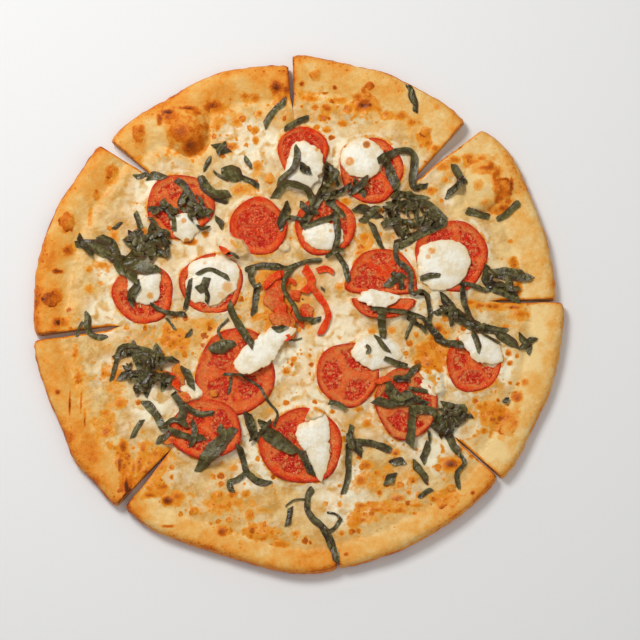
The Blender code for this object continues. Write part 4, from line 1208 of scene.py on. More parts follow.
def crust_look(colours):
    look, graph, where = new_look("baked_crust")
    masks = (graph.mask(name) for name in ("bake", "brown", "freckle"))
    top, baked = graph.baked(where, colours, *masks)
    pores = graph.between(graph.noise(where, 2.4, 3.0, 0.6), 0.35, 0.62)
    crumb = graph.mix(pores, paint(150, 92, 38), paint(212, 168, 104))
    colour = graph.mix(graph.mask("crumb"), top, crumb)
    bumps = ((graph.noise(where, 0.8, 3.0), 0.26), (graph.noise(where, 3.2), 0.5))
    return dress(look, colour, graph.between(baked, 0.1, 0.9, 0.6, 0.44), 0.13, bumps)


def cheese_look(colours):
    look, graph, where = new_look("melted_cheese")
    clouds = graph.clouds(where, 105.0, 1.5)
    oil = graph.clouds(where, 75.0, 2.2)
    density = graph.mask("speckle")
    base = graph.mix(graph.between(clouds, 0.25, 0.8), colours.cheese_deep, colours.cheese)
    smooth = graph.between(graph.noise(where, 7.0, 1.0, 0.5), 0.3, 0.56)
    base = graph.mix(graph.times(graph.mask("milk"), smooth), base, paint(246, 234, 200))
    oily = graph.times(graph.between(oil, 0.42, 0.72), graph.times_plus(density, 0.5, 0.09))
    base = graph.mix(oily, base, paint(232, 158, 48))
    crust = graph.baked(where, colours, graph.mask("bake"))[0]
    base = graph.mix(graph.mask("edge"), base, crust)
    toast = graph.stirred(graph.mask("toast"), graph.noise(where, 1.9, 3.0, 0.4), 0.32)
    boiled, rims = graph.specks(where, 4.2, 1.2)
    boiled = graph.times_plus(boiled, 0.1, graph.times_plus(rims, 0.3, -0.04))
    toast = graph.times_plus(boiled, graph.between(graph.mask("toast"), 0.12, 0.3), toast)
    large, rings = graph.specks(where, 6.4, density)
    small = graph.specks(where, 3.0, graph.times(density, 0.8))[0]
    large = graph.times(large, graph.between(oil, 0.2, 0.85, 0.26, 0.66))
    specks = graph.maths("MAXIMUM", large, graph.times(small, 0.26))
    toast = graph.maths("MAXIMUM", toast, graph.times_plus(rings, 0.1, specks))
    browning = graph.ramp(
        toast,
        (0.05, paint(240, 170, 54)),
        (0.34, colours.toast),
        (0.58, paint(190, 92, 6)),
        (0.95, paint(108, 44, 4)),
    )
    colour = graph.mix(graph.between(toast, 0.04, 0.22), base, browning)
    bumps = ((graph.noise(where, 1.3, 3.0), 0.3), (graph.noise(where, 4.5), 0.7))
    return dress(look, colour, graph.between(clouds, 0.2, 0.8, 0.26, 0.48), 0.17, bumps)


def tomato_look(colours):
    look, graph, where = new_look("tomato_flesh")
    clouds = graph.clouds(where, 170.0, 2.0)
    flesh = graph.mix(graph.between(clouds, 0.2, 0.8), colours.tomato, paint(254, 100, 34))
    flesh = graph.mix(graph.mask("pale"), flesh, paint(244, 142, 70))
    strings = graph.noise(where, 2.6, 4.0, 2.2)
    pulp = graph.mix(graph.between(strings, 0.38, 0.6), colours.tomato_pulp, paint(240, 60, 22))
    # The palest streaks of the pulp lie on the crests of its bumps: partly its pale gel, partly
    # painted highlight.
    pulp = graph.mix(graph.between(strings, 0.56, 0.68), pulp, paint(255, 156, 94))
    colour = graph.mix(graph.mask("pulp"), flesh, pulp)
    colour = graph.mix(graph.times(graph.mask("seed"), 0.8), colour, paint(244, 172, 96))
    colour = graph.mix(graph.mask("oily"), colour, paint(238, 140, 30))
    skin = graph.times(graph.mask("skin"), graph.between(clouds, 0.1, 0.7))
    colour = graph.mix(skin, colour, colours.tomato_skin)
    bumps = ((graph.noise(where, 0.9, 3.0), 0.42), (strings, 1.7))
    return dress(look, colour, graph.between(clouds, 0.2, 0.8, 0.08, 0.24), 0.25, bumps)


def mozzarella_look(colours):
    look, graph, where = new_look("soft_mozzarella")
    clouds = graph.clouds(where, 110.0, 1.6)
    dull = paint(234, 218, 184)
    white = graph.mix(graph.between(clouds, 0.25, 0.7), dull, colours.mozzarella)
    white = graph.mix(graph.mask("thin"), white, paint(236, 206, 150))
    toast = graph.stirred(graph.mask("toast"), graph.noise(where, 1.0, 3.0), 0.25)
    browning = graph.ramp(
        toast,
        (0.15, paint(238, 190, 98)),
        (0.55, paint(220, 138, 40)),
        (0.95, paint(140, 62, 8)),
    )
    colour = graph.mix(graph.between(toast, 0.12, 0.5), white, browning)
    bumps = ((graph.noise(where, 1.2, 3.0), 0.2), (graph.noise(where, 3.6), 0.5))
    return dress(look, colour, graph.between(clouds, 0.2, 0.8, 0.3, 0.5), bumps=bumps)


def basil_look(colours):
    look, graph, where = new_look("baked_basil")
    clouds = graph.clouds(where, 170.0, 1.7)
    leaf = graph.mix(graph.between(clouds, 0.3, 0.75), paint(20, 14, 4), colours.basil)
    leaf = graph.mix(graph.times(graph.mask("tone"), 0.62), leaf, paint(104, 98, 44))
    # Painted highlight: lighter streaks where a leaf stands high, on the half its fold turns up and
    # along its edges.
    streaks = graph.between(graph.noise(where, 3.2, 1.0, 0.4), 0.36, 0.62)
    leaf = graph.mix(graph.times(graph.mask("ridge"), streaks), leaf, paint(128, 120, 70))
    leaf = graph.mix(graph.mask("vein"), leaf, paint(104, 98, 62))
    crisped = graph.between(graph.noise(where, 3.6, 1.0, 0.5), 0.42, 0.56)
    leaf = graph.mix(graph.times(crisped, 0.45), leaf, paint(56, 36, 10))
    # Brown edges on the half of a leaf that its fold turns away: partly crisping, partly painted
    # shade.
    leaf = graph.mix(graph.times(graph.mask("crisp"), 0.9), leaf, paint(84, 46, 10))
    bumps = ((graph.noise(where, 0.7, 3.0), 0.16), (graph.noise(where, 2.0), 0.35))
    return dress(look, leaf, graph.between(clouds, 0.2, 0.8, 0.16, 0.4), 0.34, bumps)


def floor_look():
    return dress(new_look("pale_floor")[0], paint(236, 236, 235), 0.8, 0.1)


# ---------------------------------------------------------------- pieces
def bake_crust(name, look):
    columns, inner_rows, rim_rows, levels = 184, 16, 50, 13
    piece, i, j, k = block("baked_crust_" + name, columns, inner_rows + rim_rows, levels)
    share = np.arange(columns + 1) / columns
    edge = cheese_radius(name, share)[i]
    rim = rim_radius(name, share)[i] - RIM_CLEARANCE
    share = share[i]
    # Rows run from the tip to a little inside the cheese edge, then close together over the rim.
    lap, lap_share = 7.0, 0.17
    inner_share = np.clip(j / inner_rows, 0, 1)
    radius = TIP_RADIUS + inner_share * (edge - lap - TIP_RADIUS)
    walk = np.clip((j - inner_rows) / rim_rows, 0, 1)
    over_lap = np.clip(walk / lap_share, 0, 1)
    along = np.clip((walk - lap_share) / (1 - lap_share), 0, 1) * (len(RIM_TOP) - 1)
    rim_share = np.interp(along, np.arange(len(RIM_TOP)), RIM_TOP[:, 0])
    radius = radius + over_lap * lap + rim_share * (rim - edge)
    x, y = in_slice(name, share, radius)
    top = crust_top(name, radius, edge, rim, x, y)
    rise, brown = browned(x, y)
    outer = (radius - edge) / (rim - edge)
    bare = ease((outer + 0.1) / 0.2)
    top = limited(top + rise * bare)
    # Walls: the outer side follows the rim section, and the cut sides go straight down.
    down = k / levels
    side = down * (len(RIM_SIDE) - 1)
    side_steps = np.arange(len(RIM_SIDE))
    side_share = np.interp(side, side_steps, RIM_SIDE[:, 0])
    side_inset = np.interp(side, side_steps, RIM_SIDE[:, 1])
    side_height = np.interp(side, side_steps, RIM_SIDE[:, 2]) / RIM_SIDE[0, 2]
    outward = (side_share - RIM_SIDE[0, 0]) * (rim - edge) - side_inset
    near_rim = np.clip(1 - (SHOULDER - outer) / 0.35, 0, 1) ** 3
    wall_radius = radius + outward * near_rim
    arc = share * RIM_ARC
    puckered = 0.25 * uneven(arc, side_height * 12, 5.0, 8) + 0.3 * uneven(arc, 0, 11.0, 9)
    wall_radius = wall_radius - near_rim * np.abs(puckered) * np.sin(math.pi * down) * 2
    is_start = (i == 0) & (k > 0)
    is_end = (i == columns) & (k > 0)
    torn = 0.12 * uneven(radius, down * 9, 2.2, 10) * (1 - down)
    wall_share = share + np.where(is_start, torn, 0) / np.maximum(radius, 20)
    wall_share = wall_share - np.where(is_end, torn, 0) / np.maximum(radius, 20)
    wx, wy = in_slice(name, wall_share, wall_radius)
    x = np.where(k > 0, wx, x)
    y = np.where(k > 0, wy, y)
    z = np.where(k > 0, top * side_height, top)
    # The edges of the cuts are a little rounded, and darkened with painted shade along the cuts.
    cut = SLICES[name]
    width = math.radians(cut["end"] - cut["start"]) * radius
    from_side = np.minimum(share, 1 - share) * width
    z = z - np.where(k == 0, 0.45 * bell(from_side, 0.8), 0)
    z[k == levels] = 0.0
    painted_cut_shade = 0.55 * np.exp(-from_side / 0.9) * (k == 0) * ease((radius - 95) / 25)
    wall = (k > 0) & ~is_start & ~is_end
    bake = crust_bake(name, x, y, outer) + painted_cut_shade
    bake = np.where(wall, 0.42 + cut["baked"] + 0.2 * down + 0.22 * rough(x, y, 6.0, 22), bake)
    bake = np.where(k == levels, 0.66, bake)
    brown = np.where(wall, brown * 0.4, brown)
    pale_middle = 0.85 * np.sin(math.pi * np.clip(1.25 * down, 0, 1)) ** 0.6
    crumb = np.where(is_start | is_end, pale_middle, 0)
    crumb = np.where(near_rim > 0.9, crumb * 0.4, crumb)
    freckle = np.clip(ease((outer - 0.55) / 0.4) * (0.6 + 0.5 * uneven(x, y, 25.0, 23)), 0, 1)
    lay(piece, x, y, z, k == 0)
    masks = {"bake": bake, "brown": brown, "crumb": crumb, "freckle": freckle}
    finish_piece(piece, "crust", look, ["crust_" + name], **masks)


def melt_cheese(name, look):
    columns, rows, levels = 136, 176, 3
    piece, i, j, k = block("melted_cheese_" + name, columns, rows, levels)
    share = np.arange(columns + 1) / columns
    edge = cheese_radius(name, share)
    straight_edge = cheese_radius(name, share, ())
    arc = share * RIM_ARC + 37 * int(name)
    ragged = 2.2 * uneven(arc, 0, 14.0, 31) + 1.6 * uneven(arc, 0, 5.5, 32)
    ragged = ragged + 0.8 * uneven(arc, 0, 2.3, 33)
    reach = (edge + FILM_REACH - 0.4 * (straight_edge - edge) + ragged)[i]
    edge = edge[i]
    rim = rim_radius(name, share)[i]
    share = share[i]
    out = (j / rows) ** 0.9
    radius = TIP_RADIUS * 0.3 + out * (reach - TIP_RADIUS * 0.3)
    x, y = in_slice(name, share, radius, joined=True)
    dough = crust_top(name, radius, edge, rim, x, y)
    rise, brown = browned(x, y)
    to_edge = reach - radius
    full = ease((to_edge - 2.0) / 11.0)
    lumps = 0.5 * uneven(x, y, 19.0, 34) + 0.5 * uneven(x, y, 8.0, 35)
    lumps = lumps + 0.3 * uneven(x, y, 3.6, 36) + 0.13 * uneven(x, y, 1.8, 37)
    # The full layer lies level up to the rim, and a thin film climbs it.
    level = dough_under_cheese(x, y, radius, edge)
    level = level + 1.3 * ease((radius - edge + 16) / 18) - 2.6 * (1 - ease(to_edge / 14.0))
    level = level + CHEESE + AIR + lumps * (0.3 + 0.7 * full)
    film = dough - 0.12 + 0.25 * ease(to_edge / 6.0) + 0.2 * lumps * ease(to_edge / 4.0)
    softly = 0.8
    top = softly * np.logaddexp(level / softly, film / softly)
    top = top + (film - top) * (1 - ease(to_edge / 8.0))
    lifted = lifted_near_toppings(x, y)
    top = top + 1.3 * rise * ease(to_edge / 3.0) + lifted * full
    open_start, open_end = openness(name, radius)
    width = math.radians(SLICES[name]["end"] - SLICES[name]["start"]) * radius
    beside_start = bell(share * width, 1.1)
    beside_end = bell((1 - share) * width, 1.1)
    inner_start = 0.34 * ease((radius - 45) / 60)
    crease = beside_start * np.maximum(open_start, inner_start)
    crease = np.maximum(crease, beside_end * np.maximum(open_end, inner_start))
    z = limited(top - 0.9 * crease * full)
    # The sides go down a little way into the dough, and the flat bottom lies hidden in it.
    floor = dough - 0.25
    below = np.where(k == 2, floor, HIDDEN_BOTTOM)
    z = np.where(k == 0, z, np.where(k == 1, (z + floor) / 2, below))
    hidden = k == levels
    inset = 1.5 / np.maximum(width, 3.2)
    hidden_share = np.clip(share, inset, 1 - inset)
    hidden_radius = np.clip(radius, TIP_RADIUS + 2.0, reach - 2.0)
    hx, hy = in_slice(name, hidden_share, hidden_radius)
    x = np.where(hidden, hx, x)
    y = np.where(hidden, hy, y)
    # Painted shade darkens the cheese beside the open cuts.
    painted_cut_shade = np.maximum(beside_start * open_start, beside_end * open_end)
    toast = np.maximum(0.92 * brown, 0.5 * painted_cut_shade)
    oiled = np.zeros_like(x)
    for shape in TOMATO_SHAPES.values():
        oiled = np.maximum(oiled, bell(shape.beyond(x, y), 1.5))
    toast = np.maximum(toast, 0.24 * oiled * ease(0.5 + 1.2 * uneven(x, y, 6.0, 41)))
    speckle = near_places(x, y, SPECKLED, 0.6)
    from_crust = straight_edge[i] - radius
    dotted = 0.3 if name in DOTTED else 0.05
    speckle = np.clip(0.11 + 0.5 * speckle + dotted * bell(from_crust - 4, 6.0), 0, 1)
    milk = near_places(x, y, [(*spot, 1.0) for spot in MILKY], 0.5)
    milk = 0.21 + milk + 0.6 * rough(x, y, 11.0, 38) + 0.4 * (lifted > 0.25)
    milk = milk - 1.4 * brown - 0.5 * SLICES[name]["baked"] - 0.5 * ease((18 - to_edge) / 10)
    milk = np.clip(milk, 0, 1)
    gold = ease((16.0 - to_edge + 6 * rough(x, y, 8.0, 39)) / 13.0)
    bake = crust_bake(name, x, y, (radius - edge) / (rim - edge))
    lay(piece, x, y, z, k == 0)
    masks = {"toast": toast, "speckle": speckle, "milk": milk, "edge": gold, "bake": bake}
    finish_piece(piece, "cheese", look, ["cheese_" + name], **masks)


def topping_rings(rings, top_rings, edge_share):
    """The share of the outline's radius and how far down the side, for each ring of a form."""
    bottom_rings = 5
    ring = np.arange(rings + 1)
    over_top = edge_share * ring / top_rings
    down = np.clip((ring - top_rings) / (rings - bottom_rings - top_rings), 0, 1)
    round_side = edge_share + (1 - edge_share) * np.sin(math.pi * down)
    under = edge_share * (rings - ring) / bottom_rings
    share = np.where(down > 0, round_side, over_top)
    return np.where(ring > rings - bottom_rings, under, share), down


class Topping:
    """A round form of topping with its points spread over an outline's plan."""

    def __init__(self, name, shape, sides, rings, top_rings, edge_share):
        self.piece, ring, self.angle = round_form(name, sides, rings)
        shares, downs = topping_rings(rings, top_rings, edge_share)
        self.shape = shape
        self.share = shares[ring]
        self.down = downs[ring]

    def plan(self, stretched=1.0):
        """The plan points, with the outline this much further out."""
        reach = self.share * self.shape.radius(self.angle) * stretched
        x = self.shape.middle[0] + reach * np.cos(self.angle)
        return x, self.shape.middle[1] + reach * np.sin(self.angle)

    def set(self, x, y, floor, top, side, depth):
        """Lays the form on a floor: the height of its top and side, and how deep it sinks in."""
        lowered = side * (1 - ease(self.down)) - depth * ease(self.down)
        lay(self.piece, x, y, floor + np.where(self.down > 0, lowered, top), self.down == 0)


def slice_tomato(name, looks, look, seed):
    pockets, pale, pulp_reach = looks
    shape = TOMATO_SHAPES[name]
    form = Topping("sliced_" + name, shape, 160, 52, 38, 0.955)
    share = form.share
    angle = form.angle
    x, y = form.plan()
    floor = on_plane(resting_plane(name, MEAN_HEIGHT * TOMATO), x, y)
    s = share + 0.07 * rough(x, y, 5.0, 70 + seed) + 0.02 * uneven(x, y, 1.6, 71)
    turn = angle + 0.4 * rough(x, y, 8.0, 90 + seed) + 0.7 * seed
    spokes = np.abs(np.sin(turn * pockets / 2)) * np.minimum(s / 0.4, 1.2)
    inner = 0.2 + 0.06 * math.sin(seed)
    outer = 0.8 + 0.03 * math.cos(seed)
    inside = share < 0.95
    pulp = ease((s - inner) / 0.05) * ease((outer - s) / 0.05) * ease((spokes - 0.3) / 0.14)
    pulp = np.clip(pulp, 0, 1) * inside
    all_pulp = pulp_reach > 0.9
    if all_pulp:
        pulp = np.maximum(pulp, 0.8 * ease((outer - s) / 0.06) * inside)
    walls = 4 * pulp * (1 - pulp) * inside
    veins = bell(uneven(x, y, 3.4, 121), 0.13) * ease((outer + 0.06 - s) / 0.05)
    draws = np.random.default_rng(SEED_DRAWS + seed)
    seeds = np.zeros_like(x)
    for _ in range(min(12 * pockets, 46)):
        seed_turn = draws.uniform(-math.pi, math.pi)
        seed_share = draws.uniform(inner + 0.08, outer - 0.08)
        toward = np.array((math.cos(seed_turn), math.sin(seed_turn)))
        at = shape.middle + seed_share * shape.radius(seed_turn) * toward
        along, aside = on_turned_axes(x, y, at, seed_turn + draws.uniform(-0.8, 0.8))
        seeds = np.maximum(seeds, np.exp(-(np.hypot(along / 1.15, aside / 0.65) ** 3)) * pulp)
    sunken = 0.78 + 0.22 * ease((share - 0.78) / 0.14)
    fine_turn = angle + 0.16 * rough(x, y, 6.0, 90 + seed)
    striped = np.sin(58 * fine_turn) * 0.6 + np.sin(97 * fine_turn + 2 * seed) * 0.5
    striped = striped * ease((s - 0.6) / 0.16)
    top = TOMATO * sunken - 0.3 + 0.2 * rough(x, y, 5.0, 110 + seed) + 0.07 * striped
    top = top - pulp * (0.55 - 0.6 * rough(x, y, 2.4, 120)) + 0.45 * seeds
    top = top + 0.16 * walls + 0.2 * veins * pulp
    form.set(x, y, floor, top, TOMATO - 0.3, 1.1)
    paler = 0.3 * bell(s - 0.8, 0.09) + 0.35 * ease((0.16 - s) / 0.1)
    paler = paler + 0.2 * striped + 0.45 * rough(x, y, 7.0, 130) + 0.5 * walls + 0.3 * veins
    seeds = np.maximum(seeds, 0.4 * veins * pulp) * (0.45 if all_pulp else 1.0)
    skin = ease((share - 0.86) / 0.13)
    masks = {"pulp": pulp, "seed": seeds, "skin": skin, "pale": np.clip(pale + paler, 0, 1)}
    finish_piece(form.piece, "tomato", look, [name], **masks)


def chop_tomato(name, bits, look, nodes=(), rest=None):
    """Rough lumps of chopped tomato in one piece, on a resting plane or on what is there."""
    made = []
    for seed, (middle, half, turn) in enumerate(bits):
        shape = oval_outline(middle, half, turn, seed + 3)
        form = Topping(f"{name}_{seed}", shape, 48, 30, 18, 0.86)
        across, up = np.cos(form.angle), np.sin(form.angle)
        ragged = 1 + 0.26 * rough(across * 5 + seed, up * 5, 2.6, 140 + seed)
        blocky = (across**4 + up**4) ** -0.16
        x, y = form.plan(ragged * blocky * 0.94)
        floor = surface.height(x, y).mean() if rest is None else on_plane(rest, x, y)
        tall = 1.7 if rest is None else CHOPPED - 0.4
        dome = tall * (1 - 0.35 * form.share**3) + 0.5 * rough(x, y, 3.0, 150)
        form.set(x, y, floor, dome, dome, 0.8)
        pulp = 0.5 * ease((rough(x, y, 4.0, 160) + 0.05) / 0.3)
        oily = ease((-shape.middle[1] - 6.5) / 4.0)
        grain = 0.14 * np.sin(2.2 * x + y + 4 * rough(x, y, 6.0, 163))
        write_masks(
            form.piece,
            pulp=pulp,
            pale=np.clip(0.5 + grain + 1.2 * rough(x, y, 7.0, 161 + seed) + 0.7 * oily, 0, 1),
            seed=ease((rough(x, y, 1.6, 162) - 0.6) / 0.15) * pulp,
            skin=ease((form.share - 0.9) / 0.08) * (ragged > 1.02),
            oily=0.8 * oily * ease(0.6 + 1.5 * rough(x, y, 5.0, 164)),
        )
        made.append(form.piece)
    finish_piece(join(made, name), "tomato", look, nodes)


def join(pieces, name):
    bpy.ops.object.select_all(action="DESELECT")
    for piece in pieces:
        piece.select_set(True)
    bpy.context.view_layer.objects.active = pieces[0]
    if len(pieces) > 1:
        bpy.ops.object.join()
    pieces[0].name = name
    pieces[0].data.name = name
    return pieces[0]


def melt_mozzarella(name, looks, look, seed):
    height, spread_out, kept, torn = looks
    form = Topping("melted_" + name, MOZZARELLA_SHAPES[name], 96, 46, 34, 0.97)
    share = form.share
    round_x, round_y = np.cos(form.angle) * 9 + 31 * seed, np.sin(form.angle) * 9
    lobes = 1 + 0.09 * uneven(round_x, round_y, 7.0, 170)
    lobes = lobes + 0.05 * torn * uneven(round_x, round_y, 2.6, 171)
    lobes = lobes + 0.03 * torn * uneven(round_x, round_y, 1.0, 176)
    x, y = form.plan(lobes * spread_out)
    floor = on_plane(resting_plane(name, 0.5 * height), x, y)
    lumps = 0.2 * uneven(x, y, 7.5, 172) + 0.09 * uneven(x, y, 3.0, 173)
    lumps = lumps + 0.04 * uneven(x, y, 1.4, 174)
    top = (height - 1.2) * kept * (1 - 0.94 * share**2.7) + lumps * (1 - share**6)
    form.set(x, y, floor, top, top, 1.6)
    toast = near_places(x, y, [(a, b, 0.8 * r, s) for a, b, r, s in TOASTED], 0.5)
    thin = np.clip(ease((share - 0.72) / 0.28) * 0.65 + 0.25 * rough(x, y, 6.0, 175), 0, 1)
    finish_piece(form.piece, "mozzarella", look, [name], toast=toast, thin=thin)


# ---------------------------------------------------------------- basil
STRIP_ROWS = {"long": 44, "short": 18}
STRIP_COLUMNS = 6
LONG_SHRED = 12  # a shred longer than this, in millimetres, is copied from the long strip
SOFTENING = np.array((1, 2, 3, 4, 5, 4, 3, 2, 1))  # how a spine is evened out along its rows
HEAP_HEIGHT = 1.8
LEAF_EDGE = 38  # a leaf is shaded as sharp where it folds by more than this, in degrees


def basil_strips():
    """The two strips that every shred is copied from, long and short."""
    return {label: (*strip(STRIP_COLUMNS, rows), rows) for label, rows in STRIP_ROWS.items()}


def clear_strips(strips):
    for piece, *_ in strips.values():
        bpy.data.objects.remove(piece)


def leaf_halves(width, walked, length, phase):
    """Half the width of a leaf or shred along its line, on the left and on the right."""
    along = walked / length
    half = 0.94 * width * STEP_ACROSS / 2
    if width >= BROAD_LEAF:
        outline = 0.3 + 0.78 * np.sin(math.pi * np.clip(along * 0.96 + 0.02, 0, 1)) ** 0.6
    else:
        blunt = 0.5 + 0.22 * (1 + math.sin(phase[0]))
        outline = 1 - (1 - blunt) * bell(np.minimum(walked, length - walked), 0.9)
    outline = outline * (1 + 0.09 * np.sin(walked / 4.6 + phase[1]))
    left = half * outline * (1 + 0.06 * np.sin(walked / 1.3 + phase[2]))
    right = half * outline * (1 + 0.06 * np.sin(walked / 1.7 + phase[3]))
    return half, left, right


def lay_shred(strips, width, line, seed, crumple, thickness, lift=0.0):
    """A copy of a strip, laid along a line over what is there."""
    line = np.array([place(*point) for point in np.reshape(line, (-1, 2))])
    length = np.linalg.norm(np.diff(line, axis=0), axis=1).sum()
    base, column, row, layer, rows = strips["long" if length > LONG_SHRED else "short"]
    draws = np.random.default_rng(seed)
    phase = draws.uniform(0, 2 * math.pi, 8)
    centre = smooth_line(line, rows + 1)
    ahead = np.gradient(centre, axis=0)
    ahead /= np.linalg.norm(ahead, axis=1)[:, None]
    aside = np.column_stack((-ahead[:, 1], ahead[:, 0]))
    along = np.linspace(0, 1, rows + 1)
    walked = along * length
    half, left, right = leaf_halves(width, walked, length, phase)
    across = column / STRIP_COLUMNS * 2 - 1
    reach = np.where(across < 0, right[row], left[row]) * across
    slant = 0.8 * half * across * math.sin(phase[4])
    x, y = (centre[row] + aside[row] * reach[:, None] + ahead[row] * slant[:, None]).T
    # The spine lies smoothly over what is there, and the leaf creases and curls round it.
    under = surface.height(x, y)
    highest = np.zeros(rows + 1)
    np.maximum.at(highest, row, under)
    relaxed = np.convolve(np.pad(highest, 4, mode="edge"), SOFTENING / SOFTENING.sum(), "valid")
    spine = np.maximum(relaxed, highest - 0.4) + lift * np.sin(math.pi * along)
    crease = crumple * half * 0.55 * math.sin(phase[5]) * (0.5 - np.abs(across))
    roll = 0.5 * half * across * np.sin(walked / 6.5 + phase[6])[row] * min(1.0, 0.3 + lift)
    wrinkle = crumple * 0.3 * rough(x + seed, y, 3.4, 180) + 0.14 * uneven(x, y + seed, 1.4, 181)
    kink = crumple * 0.35 * np.abs(np.sin(walked / 2.6 + phase[7]))[row]
    kink = kink * (across * math.sin(phase[1]))
    z = np.maximum(spine[row] + crease + roll + kink + wrinkle, under + 0.08) + 0.1
    z = np.minimum(z, HIGHEST - thickness) + thickness * layer
    made = bpy.data.objects.new("shred", base.data.copy())
    bpy.context.scene.collection.objects.link(made)
    lay(made, x, y, z, layer == 1)
    from_rim = 1 - np.abs(across)
    fold = math.sin(phase[7])
    # How far the leaf stands above its spine and which half its fold turns up, for the painted
    # highlight.
    raised = 0.8 * (z - spine[row] - 0.4) + 0.45 * fold * np.sign(across)
    write_masks(
        made,
        # painted highlight: lighter along the edges, where the leaf stands high, and on the half
        # its fold turns up
        ridge=np.clip(0.25 + 0.5 * bell(from_rim, 0.22) + raised, 0, 1),
        vein=bell(across, 0.16) * (0.5 if width >= BROAD_LEAF else 0.1),
        tone=np.full(len(x), draws.uniform(0, 1)),
        # edges of the half that the fold turns away: partly crisped, partly painted shade
        crisp=bell(from_rim, 0.34) * (np.sign(across) * fold < 0),
    )
    return made


def crumpled_bits(strips, heap, seed, thickness):
    """Short curled bits scattered through a heap."""
    middle, half, count, broad = heap
    draws = np.random.default_rng(seed)
    made = []
    beneath = surface.heights.copy()
    highest = beneath
    for index in range(count):
        surface.heights = beneath + HEAP_HEIGHT * index / count
        angle = draws.uniform(0, 2 * math.pi)
        far = draws.uniform(0, 1) ** 0.6
        across = middle[0] + half[0] * far * math.cos(angle)
        down = middle[1] + half[1] * far * math.sin(angle)
        turn = draws.uniform(0, math.pi)
        long = draws.uniform(2.5, 7) + 2 * broad
        bend = draws.uniform(-4, 4)
        step = np.array((long * math.cos(turn), long * math.sin(turn)))
        bent = (across + bend * math.sin(turn), down - bend * math.cos(turn))
        line = ((across, down) - step, bent, (across, down) + step)
        width = draws.uniform(2.0, 5.2) + draws.uniform(3.0, 6.0) * broad
        lift = draws.uniform(0, 0.7)
        crumple = 1.1 - 0.6 * broad
        made.append(lay_shred(strips, width, line, seed * 100 + index, crumple, thickness, lift))
        raised = surface.heights > beneath + HEAP_HEIGHT + 0.1
        highest = np.maximum(highest, np.where(raised, surface.heights, 0))
    surface.heights = highest
    return made


# ---------------------------------------------------------------- the add-on
class PizzaSizes(bpy.types.PropertyGroup):
    basil_thickness: bpy.props.FloatProperty(
        name="Basil thickness",
        description="Thickness of the baked basil leaves",
        default=0.0004,
        min=0.0002,
        max=0.001,
        unit="LENGTH",
        precision=5,
    )
    basil_crumple: bpy.props.FloatProperty(
        name="Basil crumple",
        description="How strongly the basil is creased",
        default=0.8,
        min=0.0,
        max=2.0,
        subtype="FACTOR",
    )


def colour_setting(label, about, red, green, blue):
    return bpy.props.FloatVectorProperty(
        name=label,
        description=about,
        default=paint(red, green, blue),
        size=4,
        min=0.0,
        max=1.0,
        subtype="COLOR",
    )


class PizzaColours(bpy.types.PropertyGroup):
    crust_pale: colour_setting("Pale crust", "Crust where it meets the cheese", 240, 206, 140)
    crust_gold: colour_setting("Golden crust", "Most of the crust", 234, 175, 88)
    crust_orange: colour_setting("Orange crust", "Well baked crust", 232, 148, 48)
    crust_brown: colour_setting("Brown crust", "Browned edges and blisters", 172, 78, 12)
    cheese: colour_setting("Cheese", "Melted cheese", 230, 196, 132)
    cheese_deep: colour_setting("Deep cheese", "Melted cheese in its hollows", 206, 152, 72)
    toast: colour_setting("Toasted spots", "Browned spots on the cheese", 224, 126, 14)
    tomato: colour_setting("Tomato", "Flesh of the tomato slices", 246, 52, 6)
    tomato_pulp: colour_setting("Tomato pulp", "Wet pulp round the seeds", 196, 22, 8)
    tomato_skin: colour_setting("Tomato skin", "Skin round the slices", 200, 24, 8)
    mozzarella: colour_setting("Mozzarella", "Torn fresh mozzarella", 246, 240, 222)
    basil: colour_setting("Basil", "Baked basil leaves", 72, 62, 22)


class PIZZA_OT_crust(bpy.types.Operator):
    """Bakes the crust of the eight slices"""

    bl_idname = "pizza.bake_crust"
    bl_label = "Crust"

    def execute(self, context):
        look = crust_look(context.scene.pizza_colours)
        for name in SLICES:
            bake_crust(name, look)
        return {"FINISHED"}


class PIZZA_OT_cheese(bpy.types.Operator):
    """Melts a sheet of cheese over each slice"""

    bl_idname = "pizza.melt_cheese"
    bl_label = "Cheese"

    def execute(self, context):
        look = cheese_look(context.scene.pizza_colours)
        for name in SLICES:
            melt_cheese(name, look)
        return {"FINISHED"}


class PIZZA_OT_tomato(bpy.types.Operator):
    """Lays the tomato slices and the chopped tomato"""

    bl_idname = "pizza.lay_tomato"
    bl_label = "Tomato"

    def execute(self, context):
        look = tomato_look(context.scene.pizza_colours)
        for seed, (name, (_, _, _, *looks)) in enumerate(TOMATOES.items()):
            slice_tomato(name, looks, look, seed)
        for seed, (name, cut) in enumerate(CUT_TOMATO.items()):
            slice_tomato(name, cut[:3], look, CUT_TOMATO_DRAWS + seed)
        rest = resting_plane("tomato_chopped", MEAN_HEIGHT * CHOPPED)
        chop_tomato("chopped_tomato_heap", TOMATO_HEAP, look, ["tomato_chopped"], rest)
        chop_tomato("chopped_tomato_bits", TOMATO_BITS, look)
        strips = basil_strips()
        made = [
            lay_shred(strips, width, line, STRIP_DRAWS + index, 0.7, 1.5)
            for index, (width, *line) in enumerate(TOMATO_STRIPS)
        ]
        finish_piece(join(made, "tomato_strips"), "tomato", look)
        clear_strips(strips)
        return {"FINISHED"}


class PIZZA_OT_mozzarella(bpy.types.Operator):
    """Melts the torn mozzarella"""

    bl_idname = "pizza.melt_mozzarella"
    bl_label = "Mozzarella"

    def execute(self, context):
        look = mozzarella_look(context.scene.pizza_colours)
        for seed, (name, parts) in enumerate(MOZZARELLA.items()):
            melt_mozzarella(name, parts[:4], look, seed)
        return {"FINISHED"}


